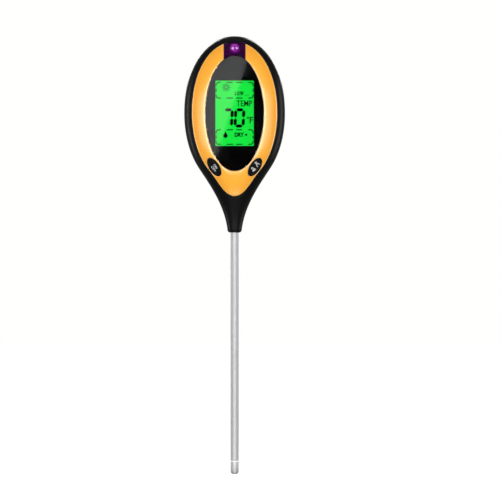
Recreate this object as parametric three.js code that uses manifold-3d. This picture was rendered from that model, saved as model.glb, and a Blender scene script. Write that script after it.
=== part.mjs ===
// A leaf-shaped digital soil meter: a hollow two-shell head on a round metal probe.
// Millimetres, +Z up, the display faces -Y, and the origin is the centre of the probe tip's flat end.
import * as THREE from "three";
import { mergeVertices } from "three/addons/utils/BufferGeometryUtils.js";
import Module from "manifold-3d";

const wasm = await Module();
wasm.setup();

// Driving dimensions
const HEAD_LENGTH = 122.85;
const HEAD_WIDTH = 63.1;
const FRONT_DEPTH = 13; // the front dome's depth, before the face cuts its crown off
const BACK_DEPTH = 21.4;
const NECK_RADIUS = 4.5;
const PROBE_REACH = 151; // from the tip's end to the neck's end
const PROBE_RADIUS = 2.5;
const WALL = 2;
const GAP = 0.3; // between neighbouring pieces
const TOUCH = GAP / 3; // between pieces that rest on each other

// Depths of the layers behind the face, from the front
const LIP_Y = -12;
const LENS_Y = -11.6;
const LEDGE_Y = -10.1;
const RING_BACK_Y = -7.1;
const DECK_Y = -6.8;
const DECK_BACK_Y = -5.2;
const BOARD_Y = -4.6;
const BOARD_BACK_Y = -3;
const BAY_FLOOR_Y = -1.6; // the battery bay's floor
const PARTING = GAP / 2;

// The head
const HALF_WIDTH = HEAD_WIDTH / 2;
const NECK_Z = PROBE_REACH;
const WIDEST = 0.607 * HEAD_LENGTH; // height of the widest section above the neck's end
const CROWN = HEAD_LENGTH - WIDEST;
const NECK_ROUND = 1.7;
const WIDTH_POWER = 2.13;
const FRONT_POWER = 3;
const BACK_POWER = 2.6;
const FRONT_SECTION = 2.4;
const BACK_SECTION = 3;
const HULL_SEGMENTS = 32;
const CAVITY_LOW = 9; // below this height the neck is solid round the tube
const DECK_LOW = 20;
const RIB = 1.6;

// The face: an oval lens in a leaf-shaped ring
const LENS = { x: 18.35, z: 36, height: 74.3, thickness: 1.2 };
const LEDGE = 0.9;
const RING = { x: 26.6, z: 44.3, height: WIDEST, power: 2.1, tip: 22.8 };
const FACE_CURVE = 1.7; // how the ring's front falls away from the lens
const RIM_STEP = 0.35; // the ring lies this much below the shell's rim
const WINDOW_WIDTH = 13.4;
const WINDOW_SKIN = 1.2;

// The keys
const KEY = { x: 12.75, height: 40.8, long: 6.4, short: 3.1, tilt: 33.5, proud: 0.45, margin: 0.8 };
const FLANGE = { front: -8.6, back: -7.6 };
const SWITCH = { side: 3.7, front: -6.7, plunger: 0.9, proud: 0.55, depth: 0.9, well: 1.2 };

// The display
const LCD = { width: 26, length: 44, height: LENS.height, thickness: 2 };
const ZEBRA = { half: 12, thickness: 1.6 };
const LIGHT_SENSOR = { height: 114.9, radius: 2.75, flange: 0.3, foot: 0.6, neck: 4.6, rise: 1.2 };
const BOARD = { low: 35, high: 118.2, inset: WALL + 1.2 };
const CHIP = { half: 4, height: 45.5, back: -1.8 };

// The battery and its bay
const BATTERY = { width: 26.5, depth: 17.5, length: 46.4, low: 54.3, round: 2.2 };
const BAY = { half: 14.1, low: 52, high: 107, wall: 1.2 };
const COVER = { half: 15, low: 50.5, high: 108, round: 6, thickness: 1.8 };
const PAD = { half: 8, low: 60, high: 90 };
const THUMB = { radius: 8, height: 110.5, out: 6.7 }; // the notch over the cover's upper edge
const TERMINAL_SPACING = 12.95;
const SNAP = { half: 12.8, halfDepth: 6.3, height: 5, well: 2.4 };
const LEAD = { x: 3.5, radius: 0.6, high: 112 };

// The fasteners
const CASE_SCREWS = [[-20, 97], [20, 97], [-10.5, 31], [10.5, 31]];
const CASE_SEAT_Y = 5.2;
const CASE_SCREW = { head: 2.3, shank: 1.25, length: 9.6, recess: 2.7, bore: 1.35, boss: 2.4, post: 4 };
const BOARD_SCREWS = [[-19, 60], [19, 60], [-19, 86], [19, 86]];
const BOARD_SCREW = { head: 1.8, shank: 1, length: 3.4, bore: 1.1, boss: 2 };

// The probe
const TIP_LENGTH = 7.4;
const TIP_BEVEL = { across: 0.8, up: 1 };
const SPIGOT = { radius: 1.35, bore: 0.9, length: 4, floor: 3 };
const SPACER = 1; // the white ring between tip and tube
const TUBE_BORE = 2.1;
const TUBE_TOP = NECK_Z + 26;
const SLEEVE = { bore: 1.5, length: 6 }; // of the white ring, inside the tube
const COLLAR = { radius: 4, low: 15.5, high: 21, edge: 0.4 };
const TUBE_LEAD = { x: 3.4, radius: 0.45 };

const paint = (color, roughness, metalness = 0) =>
  new THREE.MeshStandardMaterial({ color, roughness, metalness });
const MATERIALS = {
  shell: paint(0x17171a, 0.45),
  ring: paint(0xf6a21e, 0.35, 0.3),
  lens: paint(0x0a0a0c, 0.05),
  window: paint(0x3a0a48, 0.1),
  key: paint(0x0d0d0f, 0.6),
  lcd: paint(0x2bf05a, 0.3),
  lightGuide: paint(0xe8f5e8, 0.4),
  zebra: paint(0xd98a9a, 0.8),
  board: paint(0x14532d, 0.5),
  chip: paint(0x151515, 0.5),
  sensor: paint(0x8a1fa0, 0.15),
  switchBody: paint(0x26262a, 0.5),
  foam: paint(0x2e2e30, 0.95),
  battery: paint(0x9a6a2c, 0.35, 0.6),
  nickel: paint(0xc9c9cc, 0.25, 1),
  vinyl: paint(0x1a1a1a, 0.6),
  redWire: paint(0xb01818, 0.5),
  aluminium: paint(0xc4c6c8, 0.35, 1),
  nylon: paint(0xf2f2ee, 0.5),
  brass: paint(0xb8923a, 0.35, 1),
  steel: paint(0xa8aaad, 0.3, 1),
};

// Solids and meshes

function solid(geometry) {
  const bare = geometry.clone();
  bare.deleteAttribute("normal");
  bare.deleteAttribute("uv");
  const merged = mergeVertices(bare, 1e-4);
  const vertProperties = new Float32Array(merged.attributes.position.array);
  const triVerts = new Uint32Array(merged.index.array);
  return new wasm.Manifold(new wasm.Mesh({ numProp: 3, vertProperties, triVerts }));
}

function named(name, shape, material) {
  const { vertProperties, triVerts } = shape.getMesh();
  const geometry = new THREE.BufferGeometry();
  geometry.setAttribute("position", new THREE.BufferAttribute(vertProperties, 3));
  geometry.setIndex(new THREE.BufferAttribute(triVerts, 1));
  geometry.computeVertexNormals();
  const mesh = new THREE.Mesh(geometry, material);
  mesh.name = name;
  return mesh;
}

// A box from its lowest to its highest corner.
function block(low, high) {
  const [width, depth, height] = high.map((value, axis) => value - low[axis]);
  const middle = high.map((value, axis) => (value + low[axis]) / 2);
  return solid(new THREE.BoxGeometry(width, depth, height).translate(...middle));
}

// An outline in X and Z, extruded from y0 back to y1.
function prism(outline, y0, y1, curveSegments = 12) {
  const options = { depth: y1 - y0, bevelEnabled: false, curveSegments };
  return solid(new THREE.ExtrudeGeometry(outline, options).rotateX(Math.PI / 2).translate(0, y1, 0));
}

function rodAlongY(x, z, radius, y0, y1, sides = 10) {
  const geometry = new THREE.CylinderGeometry(radius, radius, y1 - y0, sides);
  return solid(geometry.translate(x, (y0 + y1) / 2, z));
}

// A turned piece on a vertical axis: points are [radius, z], from the bottom up round its outside.
function turned(points, x = 0, y = 0, sides = 20) {
  const profile = points.map(([radius, z]) => new THREE.Vector2(radius, z));
  return solid(new THREE.LatheGeometry(profile, sides).rotateX(Math.PI / 2).translate(x, y, 0));
}

function wire(points, radius, steps = 8) {
  const path = new THREE.CatmullRomCurve3(points.map((point) => new THREE.Vector3(...point)));
  const section = new THREE.Shape().absarc(0, 0, radius, 0, 2 * Math.PI);
  const options = { steps, bevelEnabled: false, extrudePath: path, curveSegments: 4 };
  return solid(new THREE.ExtrudeGeometry(section, options));
}

const ovalShape = (x, z, halfX, halfZ, turn = 0) =>
  new THREE.Shape().absellipse(x, z, halfX, halfZ, 0, 2 * Math.PI, false, turn);

function roundedShape(halfX, low, high, radius) {
  const shape = new THREE.Shape();
  shape.absarc(halfX - radius, high - radius, radius, 0, Math.PI / 2);
  shape.absarc(radius - halfX, high - radius, radius, Math.PI / 2, Math.PI);
  shape.absarc(radius - halfX, low + radius, radius, Math.PI, 1.5 * Math.PI);
  shape.absarc(halfX - radius, low + radius, radius, 1.5 * Math.PI, 2 * Math.PI);
  return shape;
}

// The head's hull

// Control rows of the head's lower outline: height, half width, front depth and back depth, each as
// a share of the whole, for the belly and for the throat that runs down into the round neck.
const BELLY = [
  [0.607, 1, 1, 1],
  [0.438, 1, 1, 1],
  [0.345, 0.753, 0.919, 0.771],
  [0.324, 0.7, 0.885, 0.724],
];
const THROAT = [
  BELLY[3],
  [0.244, 0.494, 0.754, 0.542],
  [0.14, 0.203, 0.485, 0.304],
  [NECK_ROUND / HEAD_LENGTH, ...[HALF_WIDTH, FRONT_DEPTH, BACK_DEPTH].map((whole) => NECK_RADIUS / whole)],
];

const bezier = ([a, b, c, d], t) =>
  (1 - t) ** 3 * a + 3 * (1 - t) ** 2 * t * b + 3 * (1 - t) * t ** 2 * c + t ** 3 * d;
const superellipse = (share, power) => Math.max(0, 1 - share ** power) ** (1 / power);
const signedPower = (value, power) => Math.sign(value) * Math.abs(value) ** power;

function lowerStation(rows, t) {
  const column = (index) => bezier(rows.map((row) => row[index]), t);
  const [height, width, front, back] = [0, 1, 2, 3].map(column);
  return {
    height: height * HEAD_LENGTH,
    width: width * HALF_WIDTH,
    front: front * FRONT_DEPTH,
    back: back * BACK_DEPTH,
  };
}

// The head's section at a height above the neck's end, drawn in by inset.
function stationAt(height, inset = 0) {
  let section;
  if (height >= WIDEST) {
    const share = Math.min(1, (height - WIDEST) / (CROWN - inset));
    section = {
      width: (HALF_WIDTH - inset) * superellipse(share, WIDTH_POWER),
      front: (FRONT_DEPTH - inset) * superellipse(share, FRONT_POWER),
      back: (BACK_DEPTH - inset) * superellipse(share, BACK_POWER),
    };
  } else {
    const rows = height > BELLY[3][0] * HEAD_LENGTH ? BELLY : THROAT;
    let [from, to] = [0, 1];
    for (let step = 0; step < 30; step++) {
      const middle = (from + to) / 2;
      if (lowerStation(rows, middle).height > height) from = middle;
      else to = middle;
    }
    const found = lowerStation(rows, from);
    const corner = Math.max(0, 1 - height / NECK_ROUND);
    const trim = inset + NECK_ROUND * (1 - Math.sqrt(1 - corner ** 2));
    section = { width: found.width - trim, front: found.front - trim, back: found.back - trim };
  }
  const belly = THREE.MathUtils.smoothstep(height, 4, 50);
  section.height = height;
  section.frontSection = 2 + (FRONT_SECTION - 2) * belly;
  section.backSection = 2 + (BACK_SECTION - 2) * belly;
  return section;
}

const range = (count) => Array.from({ length: count }, (_, index) => index);

// Heights at which the hull is sampled: close together where the outline turns quickly.
function hullHeights(inset) {
  const round = [0, 0.3 * NECK_ROUND];
  const throat = range(6).map((step) => lowerStation(THROAT, 1 - step / 6).height);
  const belly = range(5).map((step) => lowerStation(BELLY, 1 - step / 5).height);
  const crown = range(9).map(
    (step) => WIDEST + (CROWN - inset) * Math.sin((step / 8) * (Math.PI / 2)) ** (2 / WIDTH_POWER),
  );
  return [...round, ...throat, ...belly, ...crown];
}

// The head's outer form as a closed solid, drawn in by inset: a lathe whose rings are then pressed
// into the head's sections.
function hull(inset = 0) {
  const sections = hullHeights(inset).map((height) => stationAt(height, inset));
  const floor = { ...sections[0], width: 0, front: 0, back: 0 };
  const rings = [floor, ...sections];
  const profile = rings.map(({ width, height }) => new THREE.Vector2(width, height));
  const geometry = new THREE.LatheGeometry(profile, HULL_SEGMENTS);
  const { position } = geometry.attributes;
  for (let index = 0; index < position.count; index++) {
    const ring = rings[index % rings.length];
    const angle = (Math.floor(index / rings.length) / HULL_SEGMENTS) * 2 * Math.PI;
    const facesFront = Math.sin(angle) < 0;
    const depth = facesFront ? ring.front : ring.back;
    const power = facesFront ? ring.frontSection : ring.backSection;
    position.setXYZ(
      index,
      ring.width * signedPower(Math.cos(angle), 2 / power),
      depth * signedPower(Math.sin(angle), 2 / power),
      NECK_Z + ring.height,
    );
  }
  return solid(geometry);
}

function frontY(x, height) {
  const { width, front, frontSection } = stationAt(height);
  return -front * superellipse(Math.min(1, Math.abs(x) / width), frontSection);
}

function backY(x, height) {
  const { width, back, backSection } = stationAt(height);
  return back * superellipse(Math.min(1, Math.abs(x) / width), backSection);
}

// The face

// Control points of the ring's lower outline, as shares of its half width and of the height from its
// tip up to its widest place.
const FLANK = [[1, 1], [1, 0.798], [0.91, 0.496], [0.575, 0.2975]];
const CHIN = [FLANK[3], [0.395, 0.187], [0.24, 0], [0, 0]];

// Half of the ring's outer outline, [x, height], from the crown down to the tip.
function ringHalf() {
  const crown = range(9).map((step) => {
    const angle = (1 - step / 8) * (Math.PI / 2);
    const x = RING.x * signedPower(Math.cos(angle), 2 / RING.power);
    return [x, RING.height + RING.z * signedPower(Math.sin(angle), 2 / RING.power)];
  });
  const along = (rows, steps) =>
    range(steps).map((step) => {
      const [across, up] = [0, 1].map((axis) => bezier(rows.map((row) => row[axis]), (step + 1) / steps));
      return [RING.x * across, RING.tip + (RING.height - RING.tip) * up];
    });
  return [...crown, ...along(FLANK, 5), ...along(CHIN, 6)];
}

// The whole outline, anticlockwise seen from the front.
function ringOutline() {
  const right = ringHalf();
  const left = right.map(([x, height]) => [-x, height]).slice(1, -1);
  return [...left, ...right.reverse()];
}

function ringShape(grow) {
  const middle = (RING.height + RING.z + RING.tip) / 2;
  const halfLength = (RING.height + RING.z - RING.tip) / 2;
  const points = ringOutline().map(([x, height]) => [
    x * (1 + grow / RING.x),
    NECK_Z + middle + (height - middle) * (1 + grow / halfLength),
  ]);
  return new THREE.Shape(points.map((point) => new THREE.Vector2(...point)));
}

const lensShape = (grow) => ovalShape(0, NECK_Z + LENS.height, LENS.x + grow, LENS.z + grow);

// The point of the oval in the direction of an outline point.
function ovalPoint([x, height], halfX, halfZ) {
  const angle = Math.atan2((height - LENS.height) / halfZ, x / halfX);
  return [halfX * Math.cos(angle), LENS.height + halfZ * Math.sin(angle)];
}

// A closed ring with the face's crowned front, from the lens's ledge out to the leaf outline: a lathe
// of one section whose copies are set round the outline. raise moves its front towards the viewer.
function faceBlank(raise = 0) {
  const steps = [1, 0.75, 0.5, 0.25, 0];
  const outline = ringOutline();
  const sectionSize = steps.length + 2;
  const loop = range(sectionSize + 1).map((index) => new THREE.Vector2(1 + index, index));
  const geometry = new THREE.LatheGeometry(loop, outline.length);
  const { position } = geometry.attributes;
  for (let index = 0; index < position.count; index++) {
    const outer = outline[Math.floor(index / (sectionSize + 1)) % outline.length];
    const inner = ovalPoint(outer, LENS.x - LEDGE, LENS.z - LEDGE);
    const corner = (index % (sectionSize + 1)) % sectionSize;
    const onFront = corner > 0 && corner < sectionSize - 1;
    const share = onFront ? steps[corner - 1] : corner === 0 ? 1 : 0;
    const edgeY = frontY(...outer) + RIM_STEP;
    const crowned = LIP_Y + (edgeY - LIP_Y) * share ** FACE_CURVE - raise;
    const y = onFront ? Math.min(crowned, RING_BACK_Y - GAP) : RING_BACK_Y;
    const [x, height] = [0, 1].map((axis) => inner[axis] + (outer[axis] - inner[axis]) * share);
    position.setXYZ(index, x, y, NECK_Z + height);
  }
  return solid(geometry);
}

const KEYS = { power: -1, unit: 1 }; // the side of the face that each key is on

function keyShape(side, grow = 0) {
  const turn = THREE.MathUtils.degToRad(-side * KEY.tilt);
  return ovalShape(side * KEY.x, NECK_Z + KEY.height, KEY.short + grow, KEY.long + grow, turn);
}

// The key's flange, cut back where it would break out through the ring's side.
function keyFlange(side, y0, y1, grow = 0) {
  const whole = prism(keyShape(side, KEY.margin + grow), y0, y1);
  return whole.intersect(prism(ringShape(grow - 1.5 * KEY.margin), y0 - 1, y1 + 1));
}

const FRONT_LIMIT = -30; // in front of everything

function notch(shrink) {
  const half = WINDOW_WIDTH / 2 - shrink;
  return block([-half, FRONT_LIMIT, NECK_Z + LENS.height], [half, 0, NECK_Z + HEAD_LENGTH]);
}

function faceRing() {
  let ring = faceBlank().subtract(prism(lensShape(GAP), FRONT_LIMIT, LEDGE_Y)).subtract(notch(0));
  for (const side of Object.values(KEYS)) {
    ring = ring.subtract(prism(keyShape(side, GAP), FRONT_LIMIT, 0));
    ring = ring.subtract(keyFlange(side, FLANGE.front - GAP, 0, GAP));
  }
  return ring;
}

function displayLens() {
  return prism(lensShape(0), LENS_Y, LENS_Y + LENS.thickness);
}

// A thin cover round the sensor's dome, hollow behind.
function lightWindow() {
  const { height, radius } = LIGHT_SENSOR;
  const half = WINDOW_WIDTH / 2 - GAP - WINDOW_SKIN;
  const top = NECK_Z + RING.height + RING.z - WINDOW_SKIN;
  const hollow = block([-half, LEDGE_Y, NECK_Z + LENS.height], [half, 0, top])
    .intersect(faceBlank(-WINDOW_SKIN))
    .subtract(prism(lensShape(GAP + WINDOW_SKIN), FRONT_LIMIT, 0));
  return faceBlank()
    .intersect(notch(GAP))
    .subtract(prism(lensShape(GAP), FRONT_LIMIT, 0))
    .subtract(hollow)
    .subtract(rodAlongY(0, NECK_Z + height, radius + GAP, FRONT_LIMIT, 0));
}

function key(side) {
  const cap = faceBlank(KEY.proud).intersect(prism(keyShape(side), FRONT_LIMIT, FLANGE.front + GAP));
  return cap.add(keyFlange(side, FLANGE.front, FLANGE.back));
}

function tactSwitch(side) {
  const [x, z] = [side * KEY.x, NECK_Z + KEY.height];
  const half = SWITCH.side / 2;
  const body = block([x - half, SWITCH.front, z - half], [x + half, BOARD_Y - TOUCH, z + half]);
  return body.subtract(rodAlongY(x, z, SWITCH.well, SWITCH.front - 1, SWITCH.front + SWITCH.depth));
}

function plunger(side) {
  const [x, z] = [side * KEY.x, NECK_Z + KEY.height];
  const front = SWITCH.front - SWITCH.proud;
  return rodAlongY(x, z, SWITCH.plunger, front, SWITCH.front + SWITCH.depth - 2 * GAP);
}

// The shells

const FAR = 50; // beyond the head on every side
const TOP = NECK_Z + HEAD_LENGTH + 1;
const inFront = () => block([-FAR, -FAR, 0], [FAR, -PARTING, TOP]);
const behind = () => block([-FAR, PARTING, 0], [FAR, FAR, TOP]);
const above = (height) => block([-FAR, -FAR, NECK_Z + height], [FAR, FAR, TOP]);
const cavity = () => hull(WALL).intersect(above(CAVITY_LOW));

// What reaches into the skin's wall, so that it joins the shell, but not through it.
const joined = (shape) => shape.intersect(hull(WALL / 2));

// Two ribs that hold the tube above and below its collar.
function neckRibs() {
  const rib = (low) => block([-FAR, -FAR, NECK_Z + low], [FAR, FAR, NECK_Z + low + RIB]);
  return joined(rib(COLLAR.low - GAP - RIB).add(rib(COLLAR.high + GAP)));
}

// The notch in the upper rib that the tube's lead runs through.
function leadHole() {
  const [radius, low, high] = [TUBE_LEAD.radius + GAP, NECK_Z + COLLAR.low, NECK_Z + 28];
  return turned([[0, low], [radius, low], [radius, high], [0, high]], TUBE_LEAD.x, 0, 8);
}

function tubeHole() {
  const [radius, low, high] = [PROBE_RADIUS + 0.2, NECK_Z - 5, TUBE_TOP + 14];
  return turned([[0, low], [radius, low], [radius, high], [0, high]]);
}

function deck() {
  const slab = joined(block([-FAR, DECK_Y, NECK_Z + DECK_LOW], [FAR, DECK_BACK_Y, TOP]));
  const [halfX, halfZ] = [LCD.width / 2 + 1, LCD.length / 2 + 1];
  let plate = slab.subtract(lcdBlock(halfX, halfZ, FRONT_LIMIT, 0));
  for (const side of Object.values(KEYS))
    plate = plate.subtract(rodAlongY(side * KEY.x, NECK_Z + KEY.height, 1.2 * SWITCH.side, FRONT_LIMIT, 0));
  return plate;
}

function frontShell() {
  const pocket = prism(ringShape(GAP), FRONT_LIMIT, DECK_Y);
  const skin = hull().subtract(cavity());
  let shell = skin.add(deck()).add(neckRibs()).subtract(pocket).intersect(inFront());
  const root = DECK_BACK_Y - 0.5; // inside the deck
  for (const [x, height] of CASE_SCREWS)
    shell = shell.add(joined(rodAlongY(x, NECK_Z + height, CASE_SCREW.boss, root, -PARTING)));
  for (const [x, height] of BOARD_SCREWS)
    shell = shell.add(rodAlongY(x, NECK_Z + height, BOARD_SCREW.boss, root, BOARD_Y - TOUCH));
  for (const [x, height] of CASE_SCREWS)
    shell = shell.subtract(rodAlongY(x, NECK_Z + height, CASE_SCREW.bore, DECK_BACK_Y, CASE_SEAT_Y));
  for (const [x, height] of BOARD_SCREWS)
    shell = shell.subtract(rodAlongY(x, NECK_Z + height, BOARD_SCREW.bore, DECK_Y + 0.2, CASE_SEAT_Y));
  const sensorHole = rodAlongY(0, NECK_Z + LIGHT_SENSOR.height, LIGHT_SENSOR.radius + 1, DECK_Y - 1, 0);
  return shell.subtract(sensorHole).subtract(tubeHole()).subtract(leadHole());
}

function coverPrism(grow) {
  const [low, high] = [NECK_Z + COVER.low - grow, NECK_Z + COVER.high + grow];
  return prism(roundedShape(COVER.half + grow, low, high, COVER.round + grow), 2, FAR, 3);
}

const TABS = [-8, 8]; // where the cover's two hooks are
const TAB = { half: 2, length: 2, thickness: 1.1 };
const TAB_SLOT = TAB.half + 0.5;
const TAB_LOW = COVER.low - TAB.length;
// The hooks' outer face, which stays inside the wall.
const TAB_BACK = backY(TABS[1] + TAB.half, TAB_LOW) - WALL - GAP;

function batteryBay() {
  const outer = BAY.half + BAY.wall;
  const low = [-outer, BAY_FLOOR_Y - 1, NECK_Z + BAY.low - BAY.wall];
  return joined(block(low, [outer, FAR, NECK_Z + BAY.high + BAY.wall]));
}

function backShell() {
  let shell = hull().subtract(cavity()).intersect(behind());
  shell = shell.add(neckRibs().intersect(behind())).add(batteryBay());
  for (const [x, height] of CASE_SCREWS)
    shell = shell.add(joined(rodAlongY(x, NECK_Z + height, CASE_SCREW.post, PARTING, FAR, 14)));
  const bay = block([-BAY.half, BAY_FLOOR_Y, NECK_Z + BAY.low], [BAY.half, FAR, NECK_Z + BAY.high]);
  shell = shell.subtract(coverPrism(GAP).subtract(hull(COVER.thickness + GAP))).subtract(bay);
  for (const x of TABS) {
    const low = [x - TAB_SLOT, TAB_BACK - 4, NECK_Z + TAB_LOW - 1];
    const high = [x + TAB_SLOT, FAR, NECK_Z + BAY.low + 0.5];
    shell = shell.subtract(block(low, high).intersect(hull(WALL)));
  }
  for (const [x, height] of CASE_SCREWS) {
    shell = shell.subtract(rodAlongY(x, NECK_Z + height, CASE_SCREW.recess, CASE_SEAT_Y, FAR));
    shell = shell.subtract(rodAlongY(x, NECK_Z + height, CASE_SCREW.shank + GAP, -1, CASE_SEAT_Y + 1));
  }
  const leadSlot = block([-6, 2, NECK_Z + BAY.high - 1], [6, 7, NECK_Z + BAY.high + 2]);
  const thumbY = backY(0, THUMB.height) + THUMB.out;
  const thumb = new THREE.SphereGeometry(THUMB.radius, 14, 10).translate(0, thumbY, NECK_Z + THUMB.height);
  return shell.subtract(leadSlot).subtract(solid(thumb)).subtract(tubeHole()).subtract(leadHole());
}

function batteryCover() {
  let cover = hull().subtract(hull(COVER.thickness)).intersect(coverPrism(0));
  for (const x of TABS) {
    const front = TAB_BACK - TAB.thickness;
    const stemLow = NECK_Z + COVER.low + GAP;
    const stemHigh = stemLow + TAB.thickness;
    const hook = block([x - TAB.half, front, NECK_Z + TAB_LOW], [x + TAB.half, TAB_BACK, stemHigh]);
    const stem = block([x - TAB.half, front, stemLow], [x + TAB.half, FAR, stemHigh]);
    cover = cover.add(hook.add(stem).intersect(hull(COVER.thickness / 2)));
  }
  return cover;
}

// The electronics

function mainBoard() {
  const slab = block([-FAR, BOARD_Y, NECK_Z + BOARD.low], [FAR, BOARD_BACK_Y, NECK_Z + BOARD.high]);
  let board = slab.intersect(hull(BOARD.inset));
  for (const [x, height] of CASE_SCREWS)
    board = board.subtract(rodAlongY(x, NECK_Z + height, CASE_SCREW.boss + 0.5, FRONT_LIMIT, 5));
  for (const [x, height] of BOARD_SCREWS)
    board = board.subtract(rodAlongY(x, NECK_Z + height, BOARD_SCREW.shank + 0.2, FRONT_LIMIT, 5));
  return board;
}

function lcdBlock(halfX, halfZ, y0, y1) {
  const z = NECK_Z + LCD.height;
  return block([-halfX, y0, z - halfZ], [halfX, y1, z + halfZ]);
}

function backlight() {
  const front = LEDGE_Y + LCD.thickness + GAP;
  return lcdBlock(LCD.width / 2, LCD.length / 2 - 1.5 * ZEBRA.thickness, front, BOARD_Y - GAP);
}

function mainChip() {
  const [low, high] = [-CHIP.half, CHIP.half].map((reach) => NECK_Z + CHIP.height + reach);
  return block([-CHIP.half, BOARD_BACK_Y + TOUCH, low], [CHIP.half, CHIP.back, high]);
}

function zebraStrip(side) {
  const z = NECK_Z + LCD.height + side * (LCD.length / 2 - 1.2);
  const [half, front] = [ZEBRA.thickness / 2, LEDGE_Y + LCD.thickness + TOUCH];
  return block([-ZEBRA.half, front, z - half], [ZEBRA.half, BOARD_Y - TOUCH, z + half]);
}

// A domed photodiode on a flange, facing forward through the window's hole.
function lightSensor() {
  const { radius, height, flange, foot, neck, rise } = LIGHT_SENSOR;
  const dome = range(5).map((step) => {
    const angle = (step / 4) * (Math.PI / 2);
    return [radius * Math.cos(angle), neck + rise * Math.sin(angle)];
  });
  const base = [[0, 0], [radius + flange, 0], [radius + flange, foot], [radius, foot]];
  const profile = [...base, ...dome].map((point) => new THREE.Vector2(...point));
  const geometry = new THREE.LatheGeometry(profile, 20);
  return solid(geometry.rotateX(Math.PI).translate(0, BOARD_Y - TOUCH, NECK_Z + height));
}

// The battery

const BATTERY_LOW = NECK_Z + BATTERY.low;
const BATTERY_TOP = BATTERY_LOW + BATTERY.length;
const BATTERY_Y = BAY_FLOOR_Y + 0.2; // its front face
const BATTERY_MIDDLE_Y = BATTERY_Y + BATTERY.depth / 2;

function battery() {
  const { width, depth, length, round } = BATTERY;
  const shape = roundedShape(width / 2, -depth / 2, depth / 2, round);
  const options = { depth: length, bevelEnabled: false, curveSegments: 2 };
  return solid(new THREE.ExtrudeGeometry(shape, options).translate(0, BATTERY_MIDDLE_Y, BATTERY_LOW));
}

// A foam block between the battery and the cover.
function coverPad() {
  const front = BATTERY_Y + BATTERY.depth + GAP;
  const back = backY(PAD.half, PAD.low) - COVER.thickness - GAP;
  return block([-PAD.half, front, NECK_Z + PAD.low], [PAD.half, back, NECK_Z + PAD.high]);
}

function terminal(side, radius) {
  const foot = BATTERY_TOP + TOUCH;
  const points = [[0, 0], [radius, 0], [radius, 1.8], [radius - 0.4, 2.1], [0, 2.1]];
  return turned(
    points.map(([r, z]) => [r, foot + z]),
    (side * TERMINAL_SPACING) / 2,
    BATTERY_MIDDLE_Y,
    12,
  );
}

const TERMINAL_RADII = { plus: 2.9, minus: 4.2 };

// The clip that presses onto both terminals.
function batterySnap() {
  const low = BATTERY_TOP + GAP;
  const [front, back] = [BATTERY_MIDDLE_Y - SNAP.halfDepth, BATTERY_MIDDLE_Y + SNAP.halfDepth];
  let snap = block([-SNAP.half, front, low], [SNAP.half, back, low + SNAP.height]);
  for (const [side, radius] of [[-1, TERMINAL_RADII.plus], [1, TERMINAL_RADII.minus]]) {
    const [reach, top] = [radius + GAP, low + SNAP.well];
    const well = [[0, low - 1], [reach, low - 1], [reach, top], [0, top]];
    snap = snap.subtract(turned(well, (side * TERMINAL_SPACING) / 2, BATTERY_MIDDLE_Y, 12));
  }
  return snap;
}

// From the snap up through the bay's slot and forward to the board.
function batteryLead(side) {
  const x = side * LEAD.x;
  const start = BATTERY_TOP + SNAP.height + 0.4 + GAP;
  const [bend, end] = [NECK_Z + BAY.high + 1, NECK_Z + LEAD.high];
  const rise = [[x, 5, start], [x, 4.8, bend], [x, 2.4, end - 1]];
  return wire([...rise, [x, -1, end], [x, BOARD_BACK_Y + GAP, end]], LEAD.radius);
}

// The probe

function probeTip() {
  const { radius, bore, length, floor } = SPIGOT;
  const top = TIP_LENGTH + length;
  const spigot = [[radius, TIP_LENGTH], [radius, top], [bore, top], [bore, floor], [0, floor]];
  const bevel = [[PROBE_RADIUS - TIP_BEVEL.across, 0], [PROBE_RADIUS, TIP_BEVEL.up]];
  return turned([[0, 0], ...bevel, [PROBE_RADIUS, TIP_LENGTH], ...spigot]);
}

// The temperature bead, at the bottom of the tip's bore.
function thermistor() {
  const [low, high] = [SPIGOT.floor + GAP, TIP_LENGTH - 0.8];
  const bead = [[0.5, low], [0.6, low + 0.7], [0.6, high]];
  return turned([[0, low], ...bead, [0, high]], 0, 0, 10);
}

function probeInsulator() {
  const [low, high] = [TIP_LENGTH + TOUCH, TIP_LENGTH + SPACER - TOUCH];
  const [sleeve, top] = [TUBE_BORE - TOUCH, high + SLEEVE.length];
  const ring = [[SLEEVE.bore, low], [PROBE_RADIUS, low], [PROBE_RADIUS, high]];
  return turned([...ring, [sleeve, high], [sleeve, top], [SLEEVE.bore, top], [SLEEVE.bore, low]]);
}

function probeTube() {
  const low = TIP_LENGTH + SPACER;
  const outside = [[TUBE_BORE, low], [PROBE_RADIUS, low], [PROBE_RADIUS, TUBE_TOP]];
  return turned([...outside, [TUBE_BORE, TUBE_TOP], [TUBE_BORE, low]]);
}

function probeCollar() {
  const [low, high] = [NECK_Z + COLLAR.low, NECK_Z + COLLAR.high];
  const { radius, edge } = COLLAR;
  const bore = PROBE_RADIUS + TOUCH;
  const lower = [[bore, low], [radius - edge, low], [radius, low + edge]];
  return turned([...lower, [radius, high - edge], [radius - edge, high], [bore, high], [bore, low]]);
}

// The sensor cable: up the tube from the tip, then forward to the board's lower edge.
function coreCable() {
  const start = TIP_LENGTH - 0.4;
  const straight = range(4).map((step) => [0, 0, start + (step / 3) * (TUBE_TOP - start)]);
  const bend = [[0, 0.2, TUBE_TOP + 4], [0, -1.2, TUBE_TOP + 9]];
  return wire([...straight, ...bend, [0, BOARD_BACK_Y + GAP + 0.5, TUBE_TOP + 12]], 0.7, 16);
}

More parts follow.
